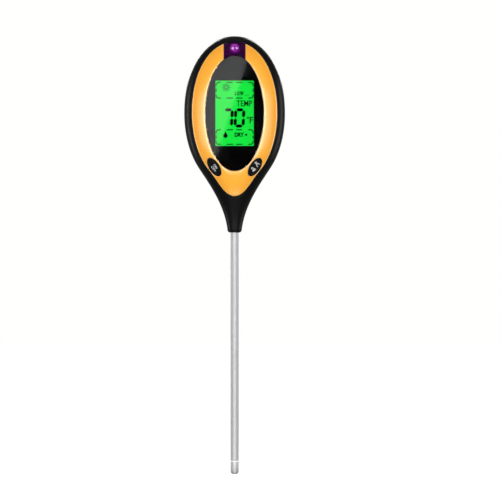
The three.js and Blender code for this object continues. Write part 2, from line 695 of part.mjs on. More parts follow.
// The tube's own lead, from its collar to the board.
function tubeLead() {
  const start = NECK_Z + COLLAR.high + GAP;
  const { x, radius } = TUBE_LEAD;
  const rise = [[x, 0, start], [x, 0, start + 3], [x + 0.5, 0, start + 9], [x + 1, -1.2, start + 14]];
  return wire([...rise, [x + 1.2, BOARD_BACK_Y + GAP + 0.4, start + 17]], radius);
}

// The fasteners

// A cross-head screw whose head's underside is at seatY and faces forward.
function screw([x, height], seatY, { head, shank, length }) {
  const z = NECK_Z + height;
  const cap = [[head, 0], [head, 0.7], [head * 0.75, 1.3], [0, 1.5]];
  const shaft = [[0, -length], [shank * 0.6, -length], [shank, 1.2 - length], [shank, 0]];
  const profile = [...shaft, ...cap].map((point) => new THREE.Vector2(...point));
  const body = solid(new THREE.LatheGeometry(profile, 10).translate(x, seatY, z));
  const arm = head * 0.55;
  const slotY = [seatY + 0.7, seatY + 3];
  const across = block([x - arm, slotY[0], z - 0.25], [x + arm, slotY[1], z + 0.25]);
  const upright = block([x - 0.25, slotY[0], z - arm], [x + 0.25, slotY[1], z + arm]);
  return body.subtract(across.add(upright));
}

// The assembly

const meter = new THREE.Group();
const add = (name, shape, material) => meter.add(named(name, shape, MATERIALS[material]));

add("front_shell", frontShell(), "shell");
add("back_shell", backShell(), "shell");
add("battery_cover", batteryCover(), "shell");
add("face_ring", faceRing(), "ring");
add("display_lens", displayLens(), "lens");
add("light_window", lightWindow(), "window");
for (const [name, side] of Object.entries(KEYS)) {
  add(`${name}_button`, key(side), "key");
  add(`${name}_switch`, tactSwitch(side), "switchBody");
  add(`${name}_plunger`, plunger(side), "nylon");
}
add("lcd_glass", lcdBlock(LCD.width / 2, LCD.length / 2, LEDGE_Y, LEDGE_Y + LCD.thickness), "lcd");
add("lcd_backlight", backlight(), "lightGuide");
add("zebra_strip_upper", zebraStrip(1), "zebra");
add("zebra_strip_lower", zebraStrip(-1), "zebra");
add("main_board", mainBoard(), "board");
add("main_chip", mainChip(), "chip");
add("light_sensor", lightSensor(), "sensor");
add("battery", battery(), "battery");
add("battery_plus_terminal", terminal(-1, TERMINAL_RADII.plus), "nickel");
add("battery_minus_terminal", terminal(1, TERMINAL_RADII.minus), "nickel");
add("battery_snap", batterySnap(), "vinyl");
add("battery_lead_red", batteryLead(-1), "redWire");
add("battery_lead_black", batteryLead(1), "vinyl");
add("cover_pad", coverPad(), "foam");
add("probe_tip", probeTip(), "aluminium");
add("probe_insulator", probeInsulator(), "nylon");
add("probe_tube", probeTube(), "aluminium");
add("probe_collar", probeCollar(), "brass");
add("thermistor", thermistor(), "chip");
add("core_cable", coreCable(), "vinyl");
add("tube_lead", tubeLead(), "vinyl");
CASE_SCREWS.forEach((place, index) =>
  add(`case_screw_${index + 1}`, screw(place, CASE_SEAT_Y + TOUCH, CASE_SCREW), "steel"),
);
BOARD_SCREWS.forEach((place, index) =>
  add(`board_screw_${index + 1}`, screw(place, BOARD_BACK_Y + TOUCH, BOARD_SCREW), "steel"),
);

export default meter;
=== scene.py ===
"""The looks of a leaf-shaped soil meter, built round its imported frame.

Lengths are millimetres in the frame's axes until a mesh is made, which is in metres. A height is
measured up from the neck's lower end, where the probe comes out.
"""
import math
from bisect import bisect_left
from functools import lru_cache

import bmesh
import bpy
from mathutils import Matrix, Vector


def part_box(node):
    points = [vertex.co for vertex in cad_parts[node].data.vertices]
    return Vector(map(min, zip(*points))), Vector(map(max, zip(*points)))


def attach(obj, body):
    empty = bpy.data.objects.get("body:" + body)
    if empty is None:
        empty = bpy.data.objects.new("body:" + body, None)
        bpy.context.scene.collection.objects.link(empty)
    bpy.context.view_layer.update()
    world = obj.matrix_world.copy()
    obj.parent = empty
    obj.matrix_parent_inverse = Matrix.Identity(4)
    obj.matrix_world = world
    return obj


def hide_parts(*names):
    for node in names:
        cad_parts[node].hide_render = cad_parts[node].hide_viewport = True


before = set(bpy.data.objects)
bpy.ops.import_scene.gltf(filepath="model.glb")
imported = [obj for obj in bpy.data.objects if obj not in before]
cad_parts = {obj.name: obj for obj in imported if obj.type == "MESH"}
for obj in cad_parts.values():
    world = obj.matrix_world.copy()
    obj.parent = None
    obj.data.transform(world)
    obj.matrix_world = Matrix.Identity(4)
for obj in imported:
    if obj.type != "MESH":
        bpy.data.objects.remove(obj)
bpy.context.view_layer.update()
MM = 0.001
FRONT, BACK = -1, 1  # the way a surface faces


# ---- Dimensions, from the frame ----


def node_box(node):
    """Lowest and highest corner of a CAD node, in millimetres."""
    low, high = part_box(node)
    return low / MM, high / MM


def middle(node):
    low, high = node_box(node)
    return (low + high) / 2


def flat_middle(node):
    """The x and height of a node's middle."""
    centre = middle(node)
    return centre.x, centre.z - NECK_Z


def half_size(node):
    """Half a node's width, depth and height."""
    return [(end - start) / 2 for start, end in zip(*node_box(node))]


head_low, head_high = node_box("back_shell")
NECK_Z = head_low.z
HEAD_LENGTH = head_high.z - NECK_Z
HALF_WIDTH = head_high.x
BACK_DEPTH = node_box("battery_cover")[1].y
FRONT_DEPTH = 0.6075 * BACK_DEPTH
NECK_RADIUS = 0.1426 * HALF_WIDTH
NECK_ROUND = 0.378 * NECK_RADIUS
WIDEST = 0.607 * HEAD_LENGTH
CROWN = HEAD_LENGTH - WIDEST
WIDTH_POWER, FRONT_POWER, BACK_POWER = 2.13, 3, 2.6
FRONT_SECTION, BACK_SECTION = 2.4, 3

PROBE_RADIUS = node_box("probe_tube")[1].x
BORE = PROBE_RADIUS + 0.15

lens_low, lens_high = node_box("display_lens")
LENS_X = lens_high.x
LENS_Z = (lens_high.z - lens_low.z) / 2
LENS_HEIGHT = (lens_high.z + lens_low.z) / 2 - NECK_Z
LENS_Y = lens_low.y
LIP_Y = LENS_Y - 0.4
LEDGE_Y = node_box("lcd_glass")[0].y
LEDGE = 0.9

ring_low, ring_high = node_box("face_ring")
RING_X = ring_high.x
RING_BACK_Y = ring_high.y
RING_TIP = ring_low.z - NECK_Z
RING_TOP = node_box("light_window")[1].z - NECK_Z
RING_POWER = 2.1
FACE_CURVE = 1.7
RIM_STEP = 0.35

SEAM = 0.12  # half the gap between the two shells
RIM_GAP = 0.22  # between ring and rim
RIM_ROUND = 0.45
SKIN = 1.3


# ---- The head's form ----

# Control rows of the lower outline: height, half width, front depth and back depth, as shares.
BELLY = ((0.607, 1, 1, 1), (0.438, 1, 1, 1), (0.345, 0.753, 0.919, 0.771), (0.324, 0.7, 0.885, 0.724))
THROAT = (
    BELLY[3],
    (0.244, 0.494, 0.754, 0.542),
    (0.14, 0.203, 0.485, 0.304),
    (NECK_ROUND / HEAD_LENGTH, NECK_RADIUS / HALF_WIDTH, NECK_RADIUS / FRONT_DEPTH, NECK_RADIUS / BACK_DEPTH),
)


def bezier(controls, t):
    a, b, c, d = controls
    return (1 - t) ** 3 * a + 3 * (1 - t) ** 2 * t * b + 3 * (1 - t) * t**2 * c + t**3 * d


def superellipse(share, power):
    return max(0.0, 1 - share**power) ** (1 / power)


def signed_power(value, power):
    return math.copysign(abs(value) ** power, value)


def smoothstep(low, high, value):
    t = min(1.0, max(0.0, (value - low) / (high - low)))
    return t * t * (3 - 2 * t)


def mix(a, b, share):
    return a + (b - a) * share


@lru_cache(maxsize=None)
def section(height, inset=0.0):
    """Half width, front depth, back depth and the two powers of the head's section, drawn in by inset."""
    if height >= WIDEST:
        share = min(1.0, (height - WIDEST) / (CROWN - inset))
        width = (HALF_WIDTH - inset) * superellipse(share, WIDTH_POWER)
        front = (FRONT_DEPTH - inset) * superellipse(share, FRONT_POWER)
        back = (BACK_DEPTH - inset) * superellipse(share, BACK_POWER)
    else:
        rows = BELLY if height > BELLY[3][0] * HEAD_LENGTH else THROAT
        heights, *measures = zip(*rows)
        low, high = 0.0, 1.0
        for _ in range(40):
            t = (low + high) / 2
            if bezier(heights, t) * HEAD_LENGTH > height:
                low = t
            else:
                high = t
        corner = max(0.0, 1 - height / NECK_ROUND)
        trim = inset + NECK_ROUND * (1 - math.sqrt(1 - corner**2))
        wholes = (HALF_WIDTH, FRONT_DEPTH, BACK_DEPTH)
        width, front, back = (bezier(m, low) * whole - trim for m, whole in zip(measures, wholes))
    belly = smoothstep(4, 50, height)
    return width, front, back, mix(2, FRONT_SECTION, belly), mix(2, BACK_SECTION, belly)


def drawn_in(height, inset):
    """The height that takes a height's place in the form drawn in by inset."""
    return height if height < WIDEST else WIDEST + (height - WIDEST) * (CROWN - inset) / CROWN


def half_section(height, facing, inset=0.0):
    """Half width of the head's section, and the depth and power of its front or back half."""
    width, front, back, front_power, back_power = section(height, inset)
    return (width, front, front_power) if facing < 0 else (width, back, back_power)


def head_point(height, angle, inset):
    """A point of the head's form. Angle 0 is its right edge, a quarter turn is its back."""
    height = drawn_in(height, inset)
    width, depth, power = half_section(height, angle, inset)
    x = width * signed_power(math.cos(angle), 2 / power)
    return x, depth * signed_power(math.sin(angle), 2 / power), NECK_Z + height


def head_y(x, height, facing):
    """The depth of the head's surface over a place, on its front or its back."""
    width, depth, power = half_section(height, facing)
    return facing * depth * superellipse(min(1.0, abs(x) / width), power)


# ---- Outlines, as lists of (x, height) ----

FLANK = ((1, 1), (1, 0.798), (0.91, 0.496), (0.575, 0.2975))
CHIN = (FLANK[3], (0.395, 0.187), (0.24, 0), (0, 0))


def leaf_half(detail):
    """The right half of the ring's outline, from its tip up to its crown."""
    half = []
    for rows in (CHIN[::-1], FLANK[::-1]):
        across, up = zip(*rows)
        for step in range(detail):
            t = step / detail
            half.append((RING_X * bezier(across, t), mix(RING_TIP, WIDEST, bezier(up, t))))
    for step in range(detail * 2):
        angle = step / (detail * 2) * math.pi / 2
        x = RING_X * signed_power(math.cos(angle), 2 / RING_POWER)
        half.append((x, mix(WIDEST, RING_TOP, signed_power(math.sin(angle), 2 / RING_POWER))))
    return half + [(0.0, RING_TOP)]


def crown_at(x):
    """The height of the ring's crown over x."""
    return WIDEST + (RING_TOP - WIDEST) * superellipse(abs(x) / RING_X, RING_POWER)


def lens_top_at(x, gap):
    """The height of the lens's upper edge over x, with a gap all round."""
    return LENS_HEIGHT + (LENS_Z + gap) * superellipse(abs(x) / (LENS_X + gap), 2)


def mirrored(half):
    """A closed outline, anticlockwise from the front, from its right half."""
    return half + [(-x, height) for x, height in half[-2:0:-1]]


def between(first, second, share):
    return mix(first[0], second[0], share), mix(first[1], second[1], share)


def spun(x, up, turn, centre):
    """A flat place turned about the origin and moved to centre."""
    cos, sin = math.cos(turn), math.sin(turn)
    return centre[0] + x * cos - up * sin, centre[1] + x * sin + up * cos


def polar(centre, radius, angle):
    return centre[0] + radius * math.cos(angle), centre[1] + radius * math.sin(angle)


def oval(centre, half_x, half_height, count, turn=0.0):
    angles = [step / count * 2 * math.pi for step in range(count)]
    return [spun(half_x * math.cos(angle), half_height * math.sin(angle), turn, centre) for angle in angles]


def rounded(centre, half_x, half_height, radius, corner, side):
    """A rounded rectangle, with corner and side the number of steps round each corner and along each side."""

    def corner_point(quarter, share):
        sign_x, sign_up = ((1, 1), (-1, 1), (-1, -1), (1, -1))[quarter]
        middle_x = centre[0] + sign_x * (half_x - radius)
        middle_up = centre[1] + sign_up * (half_height - radius)
        return polar((middle_x, middle_up), radius, (quarter + share) * math.pi / 2)

    points = []
    for quarter in range(4):
        points += [corner_point(quarter, step / corner) for step in range(corner + 1)]
        start, end = points[-1], corner_point((quarter + 1) % 4, 0)
        points += [between(start, end, step / side) for step in range(1, side)]
    return points


def offset(outline, distance):
    """An anticlockwise closed outline, grown by distance."""
    grown = []
    count = len(outline)
    for index, (x, height) in enumerate(outline):
        before, after = outline[index - 1], outline[(index + 1) % count]
        along = Vector((after[0] - before[0], after[1] - before[1])).normalized()
        grown.append((x + along.y * distance, height - along.x * distance))
    return grown


def from_lens(x, height):
    """A place's direction and distance from the lens's centre."""
    return math.atan2(height - LENS_HEIGHT, x), math.hypot(x, height - LENS_HEIGHT)


def lens_place(angle, reach):
    """The place that lies in a direction and at a distance from the lens's centre."""
    return polar((0, LENS_HEIGHT), reach, angle)


LEAF = mirrored(leaf_half(48))
LEAF_ANGLES = sorted(from_lens(*place) for place in LEAF)


def leaf_reach(angle):
    """How far the ring's outline is from the lens's centre in a direction."""
    index = bisect_left(LEAF_ANGLES, (angle, 0.0))
    (before, near), (after, far) = LEAF_ANGLES[index - 1], LEAF_ANGLES[index % len(LEAF_ANGLES)]
    turn = (after - before) % (2 * math.pi)
    return mix(near, far, ((angle - before) % (2 * math.pi)) / turn if turn else 0.0)


def oval_reach(angle, half_x, half_height):
    return 1 / math.hypot(math.cos(angle) / half_x, math.sin(angle) / half_height)


def face_y(x, height):
    """The depth of the ring's crowned front over a place on the face."""
    angle, reach = from_lens(x, height)
    outer = leaf_reach(angle)
    inner = oval_reach(angle, LENS_X - LEDGE, LENS_Z - LEDGE)
    share = max(0.0, (reach - inner) / (outer - inner))
    return LIP_Y + (head_y(*lens_place(angle, outer), FRONT) + RIM_STEP - LIP_Y) * share**FACE_CURVE


def round_off(steps):
    """Shares of a radius along a rounded edge: how far in from the side and how far down from the face."""
    turns = [step / steps * math.pi / 2 for step in range(steps + 1)]
    return [(1 - math.sin(turn), 1 - math.cos(turn)) for turn in turns]


# ---- Meshes ----

CREASE = math.radians(32)  # shading is sharp where faces meet at more than this
CLOSE_RING = 0.992  # share of a face at which a ring keeps its shading flat up to the edge
CUT_ABOVE, CUT_BELOW = 2.0, 8  # how far a cutter stands out of its surface and reaches in
FLARE_TURN = math.radians(80)


def net(rows, round_rows=False, round_columns=False):
    """A net of quads over rows of points."""
    width = len(rows[0])
    points = [point for row in rows for point in row]
    faces = []
    for row in range(len(rows) if round_rows else len(rows) - 1):
        for column in range(width if round_columns else width - 1):
            next_row, next_column = (row + 1) % len(rows), (column + 1) % width
            corners = ((row, column), (row, next_column), (next_row, next_column), (next_row, column))
            faces.append([r * width + c for r, c in corners])
    return points, faces


def joined(*nets):
    points, faces = [], []
    for net_points, net_faces in nets:
        faces += [[index + len(points) for index in face] for face in net_faces]
        points += net_points
    return points, faces


def linked(name, data):
    thing = bpy.data.objects.new(name, data)
    bpy.context.scene.collection.objects.link(thing)
    return thing


def clean(mesh, last_step):
    """Merges doubled points, drops flat slivers and then does last_step."""
    shape = bmesh.new()
    shape.from_mesh(mesh)
    bmesh.ops.remove_doubles(shape, verts=shape.verts, dist=2e-6)
    bmesh.ops.dissolve_degenerate(shape, edges=shape.edges, dist=1e-6)
    last_step(shape)
    shape.to_mesh(mesh)
    shape.free()


def solid(name, form):
    """An object holding one closed form of (points, faces)."""
    points, faces = form
    mesh = bpy.data.meshes.new(name)
    mesh.from_pydata([Vector(point) * MM for point in points], [], faces)
    clean(mesh, lambda shape: bmesh.ops.recalc_face_normals(shape, faces=shape.faces))
    return linked(name, mesh)


def cad_copy(node_name, name):
    return linked(name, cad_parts[node_name].data.copy())


def baked(thing):
    """A new mesh of a thing with its modifiers applied."""
    evaluated = thing.evaluated_get(bpy.context.evaluated_depsgraph_get())
    return bpy.data.meshes.new_from_object(evaluated)


def combine(thing, other, operation):
    """thing cut by, joined with or kept inside other, which is used up."""
    boolean = thing.modifiers.new("combine", "BOOLEAN")
    boolean.operation = operation
    boolean.solver = "EXACT"
    boolean.object = other
    bpy.context.view_layer.update()
    mesh = baked(thing)
    thing.modifiers.clear()
    thing.data = mesh
    mesh.name = thing.name
    bpy.data.objects.remove(other)
    return thing


def cut(thing, form):
    return combine(thing, solid("cutter", form), "DIFFERENCE")


def mend(thing):
    """Closes the slivers that many cuts can leave."""
    clean(thing.data, lambda shape: bmesh.ops.holes_fill(shape, edges=shape.edges, sides=6))
    return thing


def finish_piece(thing, look, body="head", replaced=()):
    """Gives a piece its material, smooth shading and body, and hides the CAD parts it replaces."""
    thing.data.materials.clear()
    thing.data.materials.append(LOOKS[look])
    thing.data.polygons.foreach_set("use_smooth", [True] * len(thing.data.polygons))
    thing.data.set_sharp_from_angle(angle=CREASE)
    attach(thing, body)
    if replaced:
        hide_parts(*replaced)
    return thing


def flat(y):
    """A flat surface at depth y."""
    return lambda x, height: y


def centroid(outline):
    return sum(x for x, _ in outline) / len(outline), sum(height for _, height in outline) / len(outline)


def scaled(outline, share, centre):
    return [between(centre, place, share) for place in outline]


def stacked(levels, surface, facing):
    """A form through levels of (outline, how far below a surface), with the way the surface faces."""
    rows = [
        [(x, surface(x, height) - facing * below, NECK_Z + height) for x, height in outline]
        for outline, below in levels
    ]
    return net(rows, round_columns=True)


def cap(outline, surface, thickness, edge=0.3, rings=8, crown=0.0, facing=FRONT):
    """A plate over an outline with a rounded front edge. surface(x, height) gives the depth of its face."""
    centre = centroid(outline)
    face = offset(outline, -edge)
    shares = [ring / rings for ring in range(rings)] + [CLOSE_RING, 1]
    levels = [(scaled(face, share, centre), -crown * (1 - share**2)) for share in shares]
    levels += [(offset(outline, -edge * side), edge * front) for side, front in round_off(4)[1:]]
    levels.append((outline, thickness))
    for ring in (*range(rings - 1, -1, -2), 0):
        levels.append((scaled(outline, ring / rings, centre), thickness))
    return stacked(levels, surface, facing)


def flared(outline, surface, flare, facing=FRONT):
    """A cutter through a surface that rounds the edge it leaves."""
    centre = centroid(outline)
    wide = offset(outline, flare * 1.05)
    levels = [(scaled(wide, 0, centre), -CUT_ABOVE), (wide, -CUT_ABOVE)]
    for step in range(4, -1, -1):
        turn = step / 4 * FLARE_TURN
        levels.append((offset(outline, flare * (1 - math.cos(turn))), flare * (1 - math.sin(turn))))
    levels += [(outline, CUT_BELOW), (scaled(outline, 0, centre), CUT_BELOW)]
    return stacked(levels, surface, facing)


def turned(profile, sides, centre=(0.0, 0.0), along="z"):
    """A turned form: profile is [(radius, place along the axis)], from end to end or closed on itself."""
    rows = []
    for step in range(sides):
        row = []
        for radius, place in profile:
            x, other = polar(centre, radius, step / sides * 2 * math.pi)
            row.append((x, other, place) if along == "z" else (x, place, other))
        rows.append(row)
    return net(rows, round_rows=True, round_columns=profile[0][0] > 0)


def brick(low, high):
    """A plain box, for cutting with."""
    corners = [(x, y, z) for x in (low[0], high[0]) for y in (low[1], high[1]) for z in (low[2], high[2])]
    faces = [[0, 1, 3, 2], [4, 6, 7, 5], [0, 4, 5, 1], [2, 3, 7, 6], [0, 2, 6, 4], [1, 5, 7, 3]]
    return corners, faces


# ---- Materials ----


def material(name, color, roughness, gloss=None, grain=None, **values):
    """A Principled material. values are further sockets, with _ for a space.

    gloss is a noise scale and the lowest and highest roughness, grain a noise scale and its height in mm.
    """
    look = bpy.data.materials.new(name)
    look.use_nodes = True
    values.update(Base_Color=(*color, 1), Roughness=roughness)
    for key, value in values.items():
        socket(look, key.replace("_", " ")).default_value = value
    if gloss:
        vary_roughness(look, noise(look, gloss[0]), *gloss[1:])
    if grain:
        relief(look, noise(look, grain[0], 2), grain[1])
    return look


def socket(look, name):
    return look.node_tree.nodes["Principled BSDF"].inputs[name]


def node(look, kind, **inputs):
    made = look.node_tree.nodes.new(kind)
    for key, value in inputs.items():
        made.inputs[key.replace("_", " ")].default_value = value
    return made


def link(look, output, target):
    look.node_tree.links.new(output, target)


def noise(look, scale, detail=3.0, stretch=(1, 1, 1)):
    """Noise in the object's own space, scale in lumps per metre. Returns its value socket."""
    place = node(look, "ShaderNodeTexCoord")
    mapping = node(look, "ShaderNodeMapping", Scale=stretch)
    pattern = node(look, "ShaderNodeTexNoise", Scale=scale, Detail=detail)
    link(look, place.outputs["Object"], mapping.inputs["Vector"])
    link(look, mapping.outputs["Vector"], pattern.inputs["Vector"])
    return pattern.outputs["Fac"]


def one_axis(look, vector, axis):
    split = node(look, "ShaderNodeSeparateXYZ")
    link(look, vector, split.inputs["Vector"])
    return split.outputs[axis]


def vary_roughness(look, value, low, high):
    spread = node(look, "ShaderNodeMapRange", To_Min=low, To_Max=high, From_Min=0.3, From_Max=0.7)
    link(look, value, spread.inputs["Value"])
    link(look, spread.outputs["Result"], socket(look, "Roughness"))


def vary_color(look, value, first, second, low=0.3, high=0.7, target="Base Color"):
    ramp = node(look, "ShaderNodeValToRGB")
    for stop, color, position in zip(ramp.color_ramp.elements, (first, second), (low, high)):
        stop.color = (*color, 1)
        stop.position = position
    link(look, value, ramp.inputs["Fac"])
    link(look, ramp.outputs["Color"], socket(look, target))
    return ramp.color_ramp


def relief(look, value, height):
    """Bump from a pattern, height in millimetres."""
    bump = node(look, "ShaderNodeBump", Strength=1.0, Distance=height * MM)
    link(look, value, bump.inputs["Height"])
    link(look, bump.outputs["Normal"], socket(look, "Normal"))


def black_plastic():
    black, gloss, grain = (0.002, 0.002, 0.002), (60, 0.28, 0.34), (2600, 0.006)
    return material("black_plastic", black, 0.3, gloss, grain, Specular_IOR_Level=0.11)


def ring_lacquer_painted_light():
    """Orange: apricot to the front, painted shade deeper where it falls away, painted highlight pale on its
    edges.
    """
    coat = {"Coat_Weight": 1.0, "Coat_IOR": 1.8, "Coat_Roughness": 0.18}
    look = material(
        "ring_lacquer_painted_light", (1, 0.5, 0.06), 0.3, (900, 0.27, 0.33), (5000, 0.002), Specular_IOR_Level=0.15, **coat
    )
    facing = node(look, "ShaderNodeMath")
    facing.operation = "ABSOLUTE"
    normal = node(look, "ShaderNodeNewGeometry").outputs["Normal"]
    link(look, one_axis(look, normal, "Y"), facing.inputs[0])
    # The colour follows the direction of the surface in the object's own space. The pale cream on the steep
    # rounded edges is a painted highlight.
    ramp = vary_color(look, facing.outputs["Value"], (1.0, 0.79, 0.46), (0.92, 0.405, 0.018), 0.55, 1.0)
    # This deeper orange is painted shade where the face tilts away from the front.
    ramp.elements.new(0.72).color = (0.75, 0.285, 0.009, 1)
    return look


def clear_acrylic():
    clear = (0.96, 0.96, 0.97)
    return material("clear_acrylic", clear, 0.0, (40, 0.01, 0.03), Transmission_Weight=1.0, IOR=1.49)


def print_black():
    black = (0.002, 0.002, 0.002)
    return material("print_black", black, 0.6, (200, 0.55, 0.65), Specular_IOR_Level=0.0)


def violet_acrylic():
    violet = (0.45, 0.03, 0.5)
    return material("violet_acrylic", violet, 0.05, (80, 0.02, 0.06), Transmission_Weight=0.96, IOR=1.12)


def violet_resin():
    """The light sensor's dyed resin, with a faint painted glow for the light that reaches it through the
    window.
    """
    coat = {"Coat_Weight": 1.0, "Coat_IOR": 1.65, "Coat_Roughness": 0.03, "Specular_IOR_Level": 0.0}
    # The emission is painted light: the sensor is no lamp.
    glow = {"Emission_Color": (0.5, 0.01, 0.6, 1), "Emission_Strength": 0.07}
    look = material("violet_resin", (0.2, 0.01, 0.25), 0.3, **coat, **glow)
    vary_color(look, noise(look, 400), (0.17, 0.006, 0.24), (0.24, 0.01, 0.28))
    return look


def magenta_guide():
    """The light guide's resin, made bright by a painted glow that stands in for light reaching it through the
    window.
    """
    # The emission is painted light: the guide is no lamp.
    glow = {"Emission_Color": (0.8, 0.08, 0.62, 1), "Emission_Strength": 0.6}
    look = material("magenta_guide", (0.4, 0.02, 0.3), 0.2, **glow)
    vary_color(look, noise(look, 500), (0.3, 0.01, 0.24), (0.45, 0.03, 0.36))
    return look


def display_green():
    look = material("display_green", (0.0, 0.1, 0.01), 0.5, Emission_Strength=1.0, Specular_IOR_Level=0.0)
    pattern = noise(look, 25, 1)
    vary_color(look, pattern, (0.0, 0.08, 0.004), (0.0, 0.1, 0.006))
    vary_color(look, pattern, (0.005, 0.74, 0.042), (0.014, 0.85, 0.068), target="Emission Color")
    return look


def display_ink():
    ink = (0.001, 0.004, 0.002)
    return material("display_ink", ink, 0.5, (300, 0.45, 0.55), Specular_IOR_Level=0.0)


def key_rubber():
    black, gloss, grain = (0.003, 0.003, 0.003), (120, 0.45, 0.58), (4000, 0.004)
    return material("key_rubber", black, 0.5, gloss, grain, Specular_IOR_Level=0.07)


def key_print():
    look = material("key_print", (0.8, 0.8, 0.8), 0.5)
    vary_color(look, noise(look, 1500), (0.62, 0.62, 0.62), (0.85, 0.85, 0.85))
    return look


def brushed(name, color, roughness, pattern, spread, height):
    """Bare metal with fine lines. pattern is their noise's scale, detail and stretch."""
    look = material(name, color, roughness, Metallic=1.0)
    lines = noise(look, *pattern)
    vary_roughness(look, lines, *spread)
    relief(look, lines, height)
    return look


def satin_metal():
    """Drawn aluminium with fine lines along the probe."""
    along = (3000, 3, (1, 1, 0.01))
    return brushed("satin_metal", (0.46, 0.46, 0.47), 0.6, along, (0.56, 0.64), 0.0015)


def tip_metal():
    """The turned tip, with fine rings round it."""
    around = (2500, 2, (0.02, 0.02, 1))
    return brushed("tip_metal", (0.56, 0.56, 0.565), 0.58, around, (0.52, 0.64), 0.002)


def speckled(name, color, second, roughness, scale=300, bump=0.01, **values):
    """A plain moulded or coated material with slight changes in colour, gloss and surface."""
    gloss = (scale * 0.4, roughness * 0.85, min(1.0, roughness * 1.15))
    look = material(name, color, roughness, gloss, (scale * 5, bump), **values)
    vary_color(look, noise(look, scale), color, second)
    return look


def battery_jacket():
    """A printed jacket: a copper band at the top over black, divided by a thin pale line."""
    coat = {"Coat_Weight": 0.5, "Coat_Roughness": 0.1}
    look = material("battery_jacket", (0.3, 0.15, 0.04), 0.3, (80, 0.24, 0.36), Metallic=0.7, **coat)
    low, high = node_box("battery")
    share = node(look, "ShaderNodeMapRange", From_Min=low.z * MM, From_Max=high.z * MM)
    place = node(look, "ShaderNodeTexCoord").outputs["Object"]
    link(look, one_axis(look, place, "Z"), share.inputs["Value"])
    ramp = vary_color(look, share.outputs["Result"], (0.012, 0.012, 0.014), (0.42, 0.18, 0.05), 0.0, 0.66)
    ramp.interpolation = "CONSTANT"
    ramp.elements.new(0.64).color = (0.6, 0.6, 0.6, 1)
    relief(look, noise(look, 500), 0.01)
    return look


LOOKS = {
    "shell": black_plastic(),
    "ring": ring_lacquer_painted_light(),
    "lens": clear_acrylic(),
    "mask": print_black(),
    "window": violet_acrylic(),
    "sensor": violet_resin(),
    "guide": magenta_guide(),
    "display": display_green(),
    "ink": display_ink(),
    "key": key_rubber(),
    "print": key_print(),
    "aluminium": satin_metal(),
    "tip": tip_metal(),
    "nylon": speckled("white_nylon", (0.85, 0.85, 0.83), (0.78, 0.78, 0.76), 0.45),
    "steel": speckled("zinc_steel", (0.5, 0.5, 0.52), (0.36, 0.37, 0.4), 0.32, 500, 0.003, Metallic=1.0),
    "nickel": speckled("nickel_plate", (0.62, 0.6, 0.56), (0.5, 0.49, 0.46), 0.22, 300, 0.002, Metallic=1.0),
    "brass": speckled("turned_brass", (0.6, 0.42, 0.14), (0.5, 0.34, 0.1), 0.3, 400, 0.003, Metallic=1.0),
    "board": speckled("green_board", (0.012, 0.09, 0.035), (0.008, 0.06, 0.022), 0.4, 500),
    "chip": speckled("epoxy_chip", (0.012, 0.012, 0.012), (0.02, 0.02, 0.02), 0.6, 900),
    "switch_case": speckled("nylon_case", (0.02, 0.02, 0.022), (0.03, 0.03, 0.032), 0.5, 700),
    "light_guide": speckled("milky_acrylic", (0.75, 0.85, 0.75), (0.82, 0.9, 0.8), 0.35, 200),
    "zebra": speckled("zebra_rubber", (0.55, 0.22, 0.28), (0.04, 0.04, 0.04), 0.75, 2500, 0.02),
    "foam": speckled("foam_pad", (0.03, 0.03, 0.032), (0.012, 0.012, 0.012), 0.95, 1200, 0.15),
    "vinyl": speckled("black_vinyl", (0.01, 0.01, 0.01), (0.018, 0.018, 0.018), 0.45, 250),
    "red_wire": speckled("red_vinyl", (0.5, 0.01, 0.01), (0.4, 0.008, 0.008), 0.4, 250),
    "battery_jacket": battery_jacket(),
}


# ---- The shells ----

NECK_END_STEPS = 6
SCREW_HOLE = 2.7
CASE_SCREWS = [f"case_screw_{number}" for number in range(1, 5)]
THUMB_RADIUS, THUMB_DEPTH = 8, 1.0
COVER_LOW, COVER_HIGH = node_box("battery_cover")
COVER_X = COVER_HIGH.x
COVER_TOP = COVER_HIGH.z - NECK_Z
HOOK_REACH = 2.0  # how far the hooks stand out below the cover
COVER_BOTTOM = COVER_LOW.z - NECK_Z + HOOK_REACH
COVER_ROUND = 6.0
COVER_THICKNESS = 1.8
COVER_GAP = 0.3


def surface_angle(x, height, facing):
    """The angle at which the head's form is over x."""
    width, _, power = half_section(height, facing)
    share = min(1.0, x / width) if width > 0 else 0.0
    return math.acos(share ** (power / 2))


def wall_at(height):
    """The skin's thickness, which leaves only the probe's bore down in the neck."""
    return mix(min(section(height)[:2]) - BORE, SKIN, smoothstep(10, 20, height))


def skin_row(inner_x, height, facing, columns):
    """Half a section of a shell, from inner_x out to the seam and back along the inside."""
    wall = wall_at(height)
    inner_angle = surface_angle(inner_x, height, facing)
    _, depth, power = half_section(height, facing)
    seam_share = min(1.0, 2.5 * SEAM / depth) if depth > 0 else 1.0
    seam_angle = min(inner_angle, math.asin(seam_share ** (power / 2)))
    angles = [mix(inner_angle, seam_angle, step / columns) for step in range(columns + 1)]

    def skin(angle, inset):
        x, y, z = head_point(height, facing * angle, inset)
        return max(0.0, x), facing * max(SEAM, abs(y)), z

    edge = [(0.04, 1.6 * SEAM), (0.18, SEAM)]
    if facing == BACK:
        # The back shell's lip closes the seam but for a hair. It ends above the neck's rounded end.
        near, far = 0.3 * wall, 0.6 * wall
        tip = mix(SEAM, 0.01 - SEAM, smoothstep(0, NECK_ROUND, height))
        edge += [(near, SEAM), (near, tip), (far, tip), (far, SEAM)]
    row = [skin(angle, 0.0) for angle in angles]
    for inset, y in edge:
        x, _, z = head_point(height, 0.0, inset)
        row.append((max(0.0, x), facing * y, z))
    return row + [skin(angle, wall) for angle in reversed(angles)]


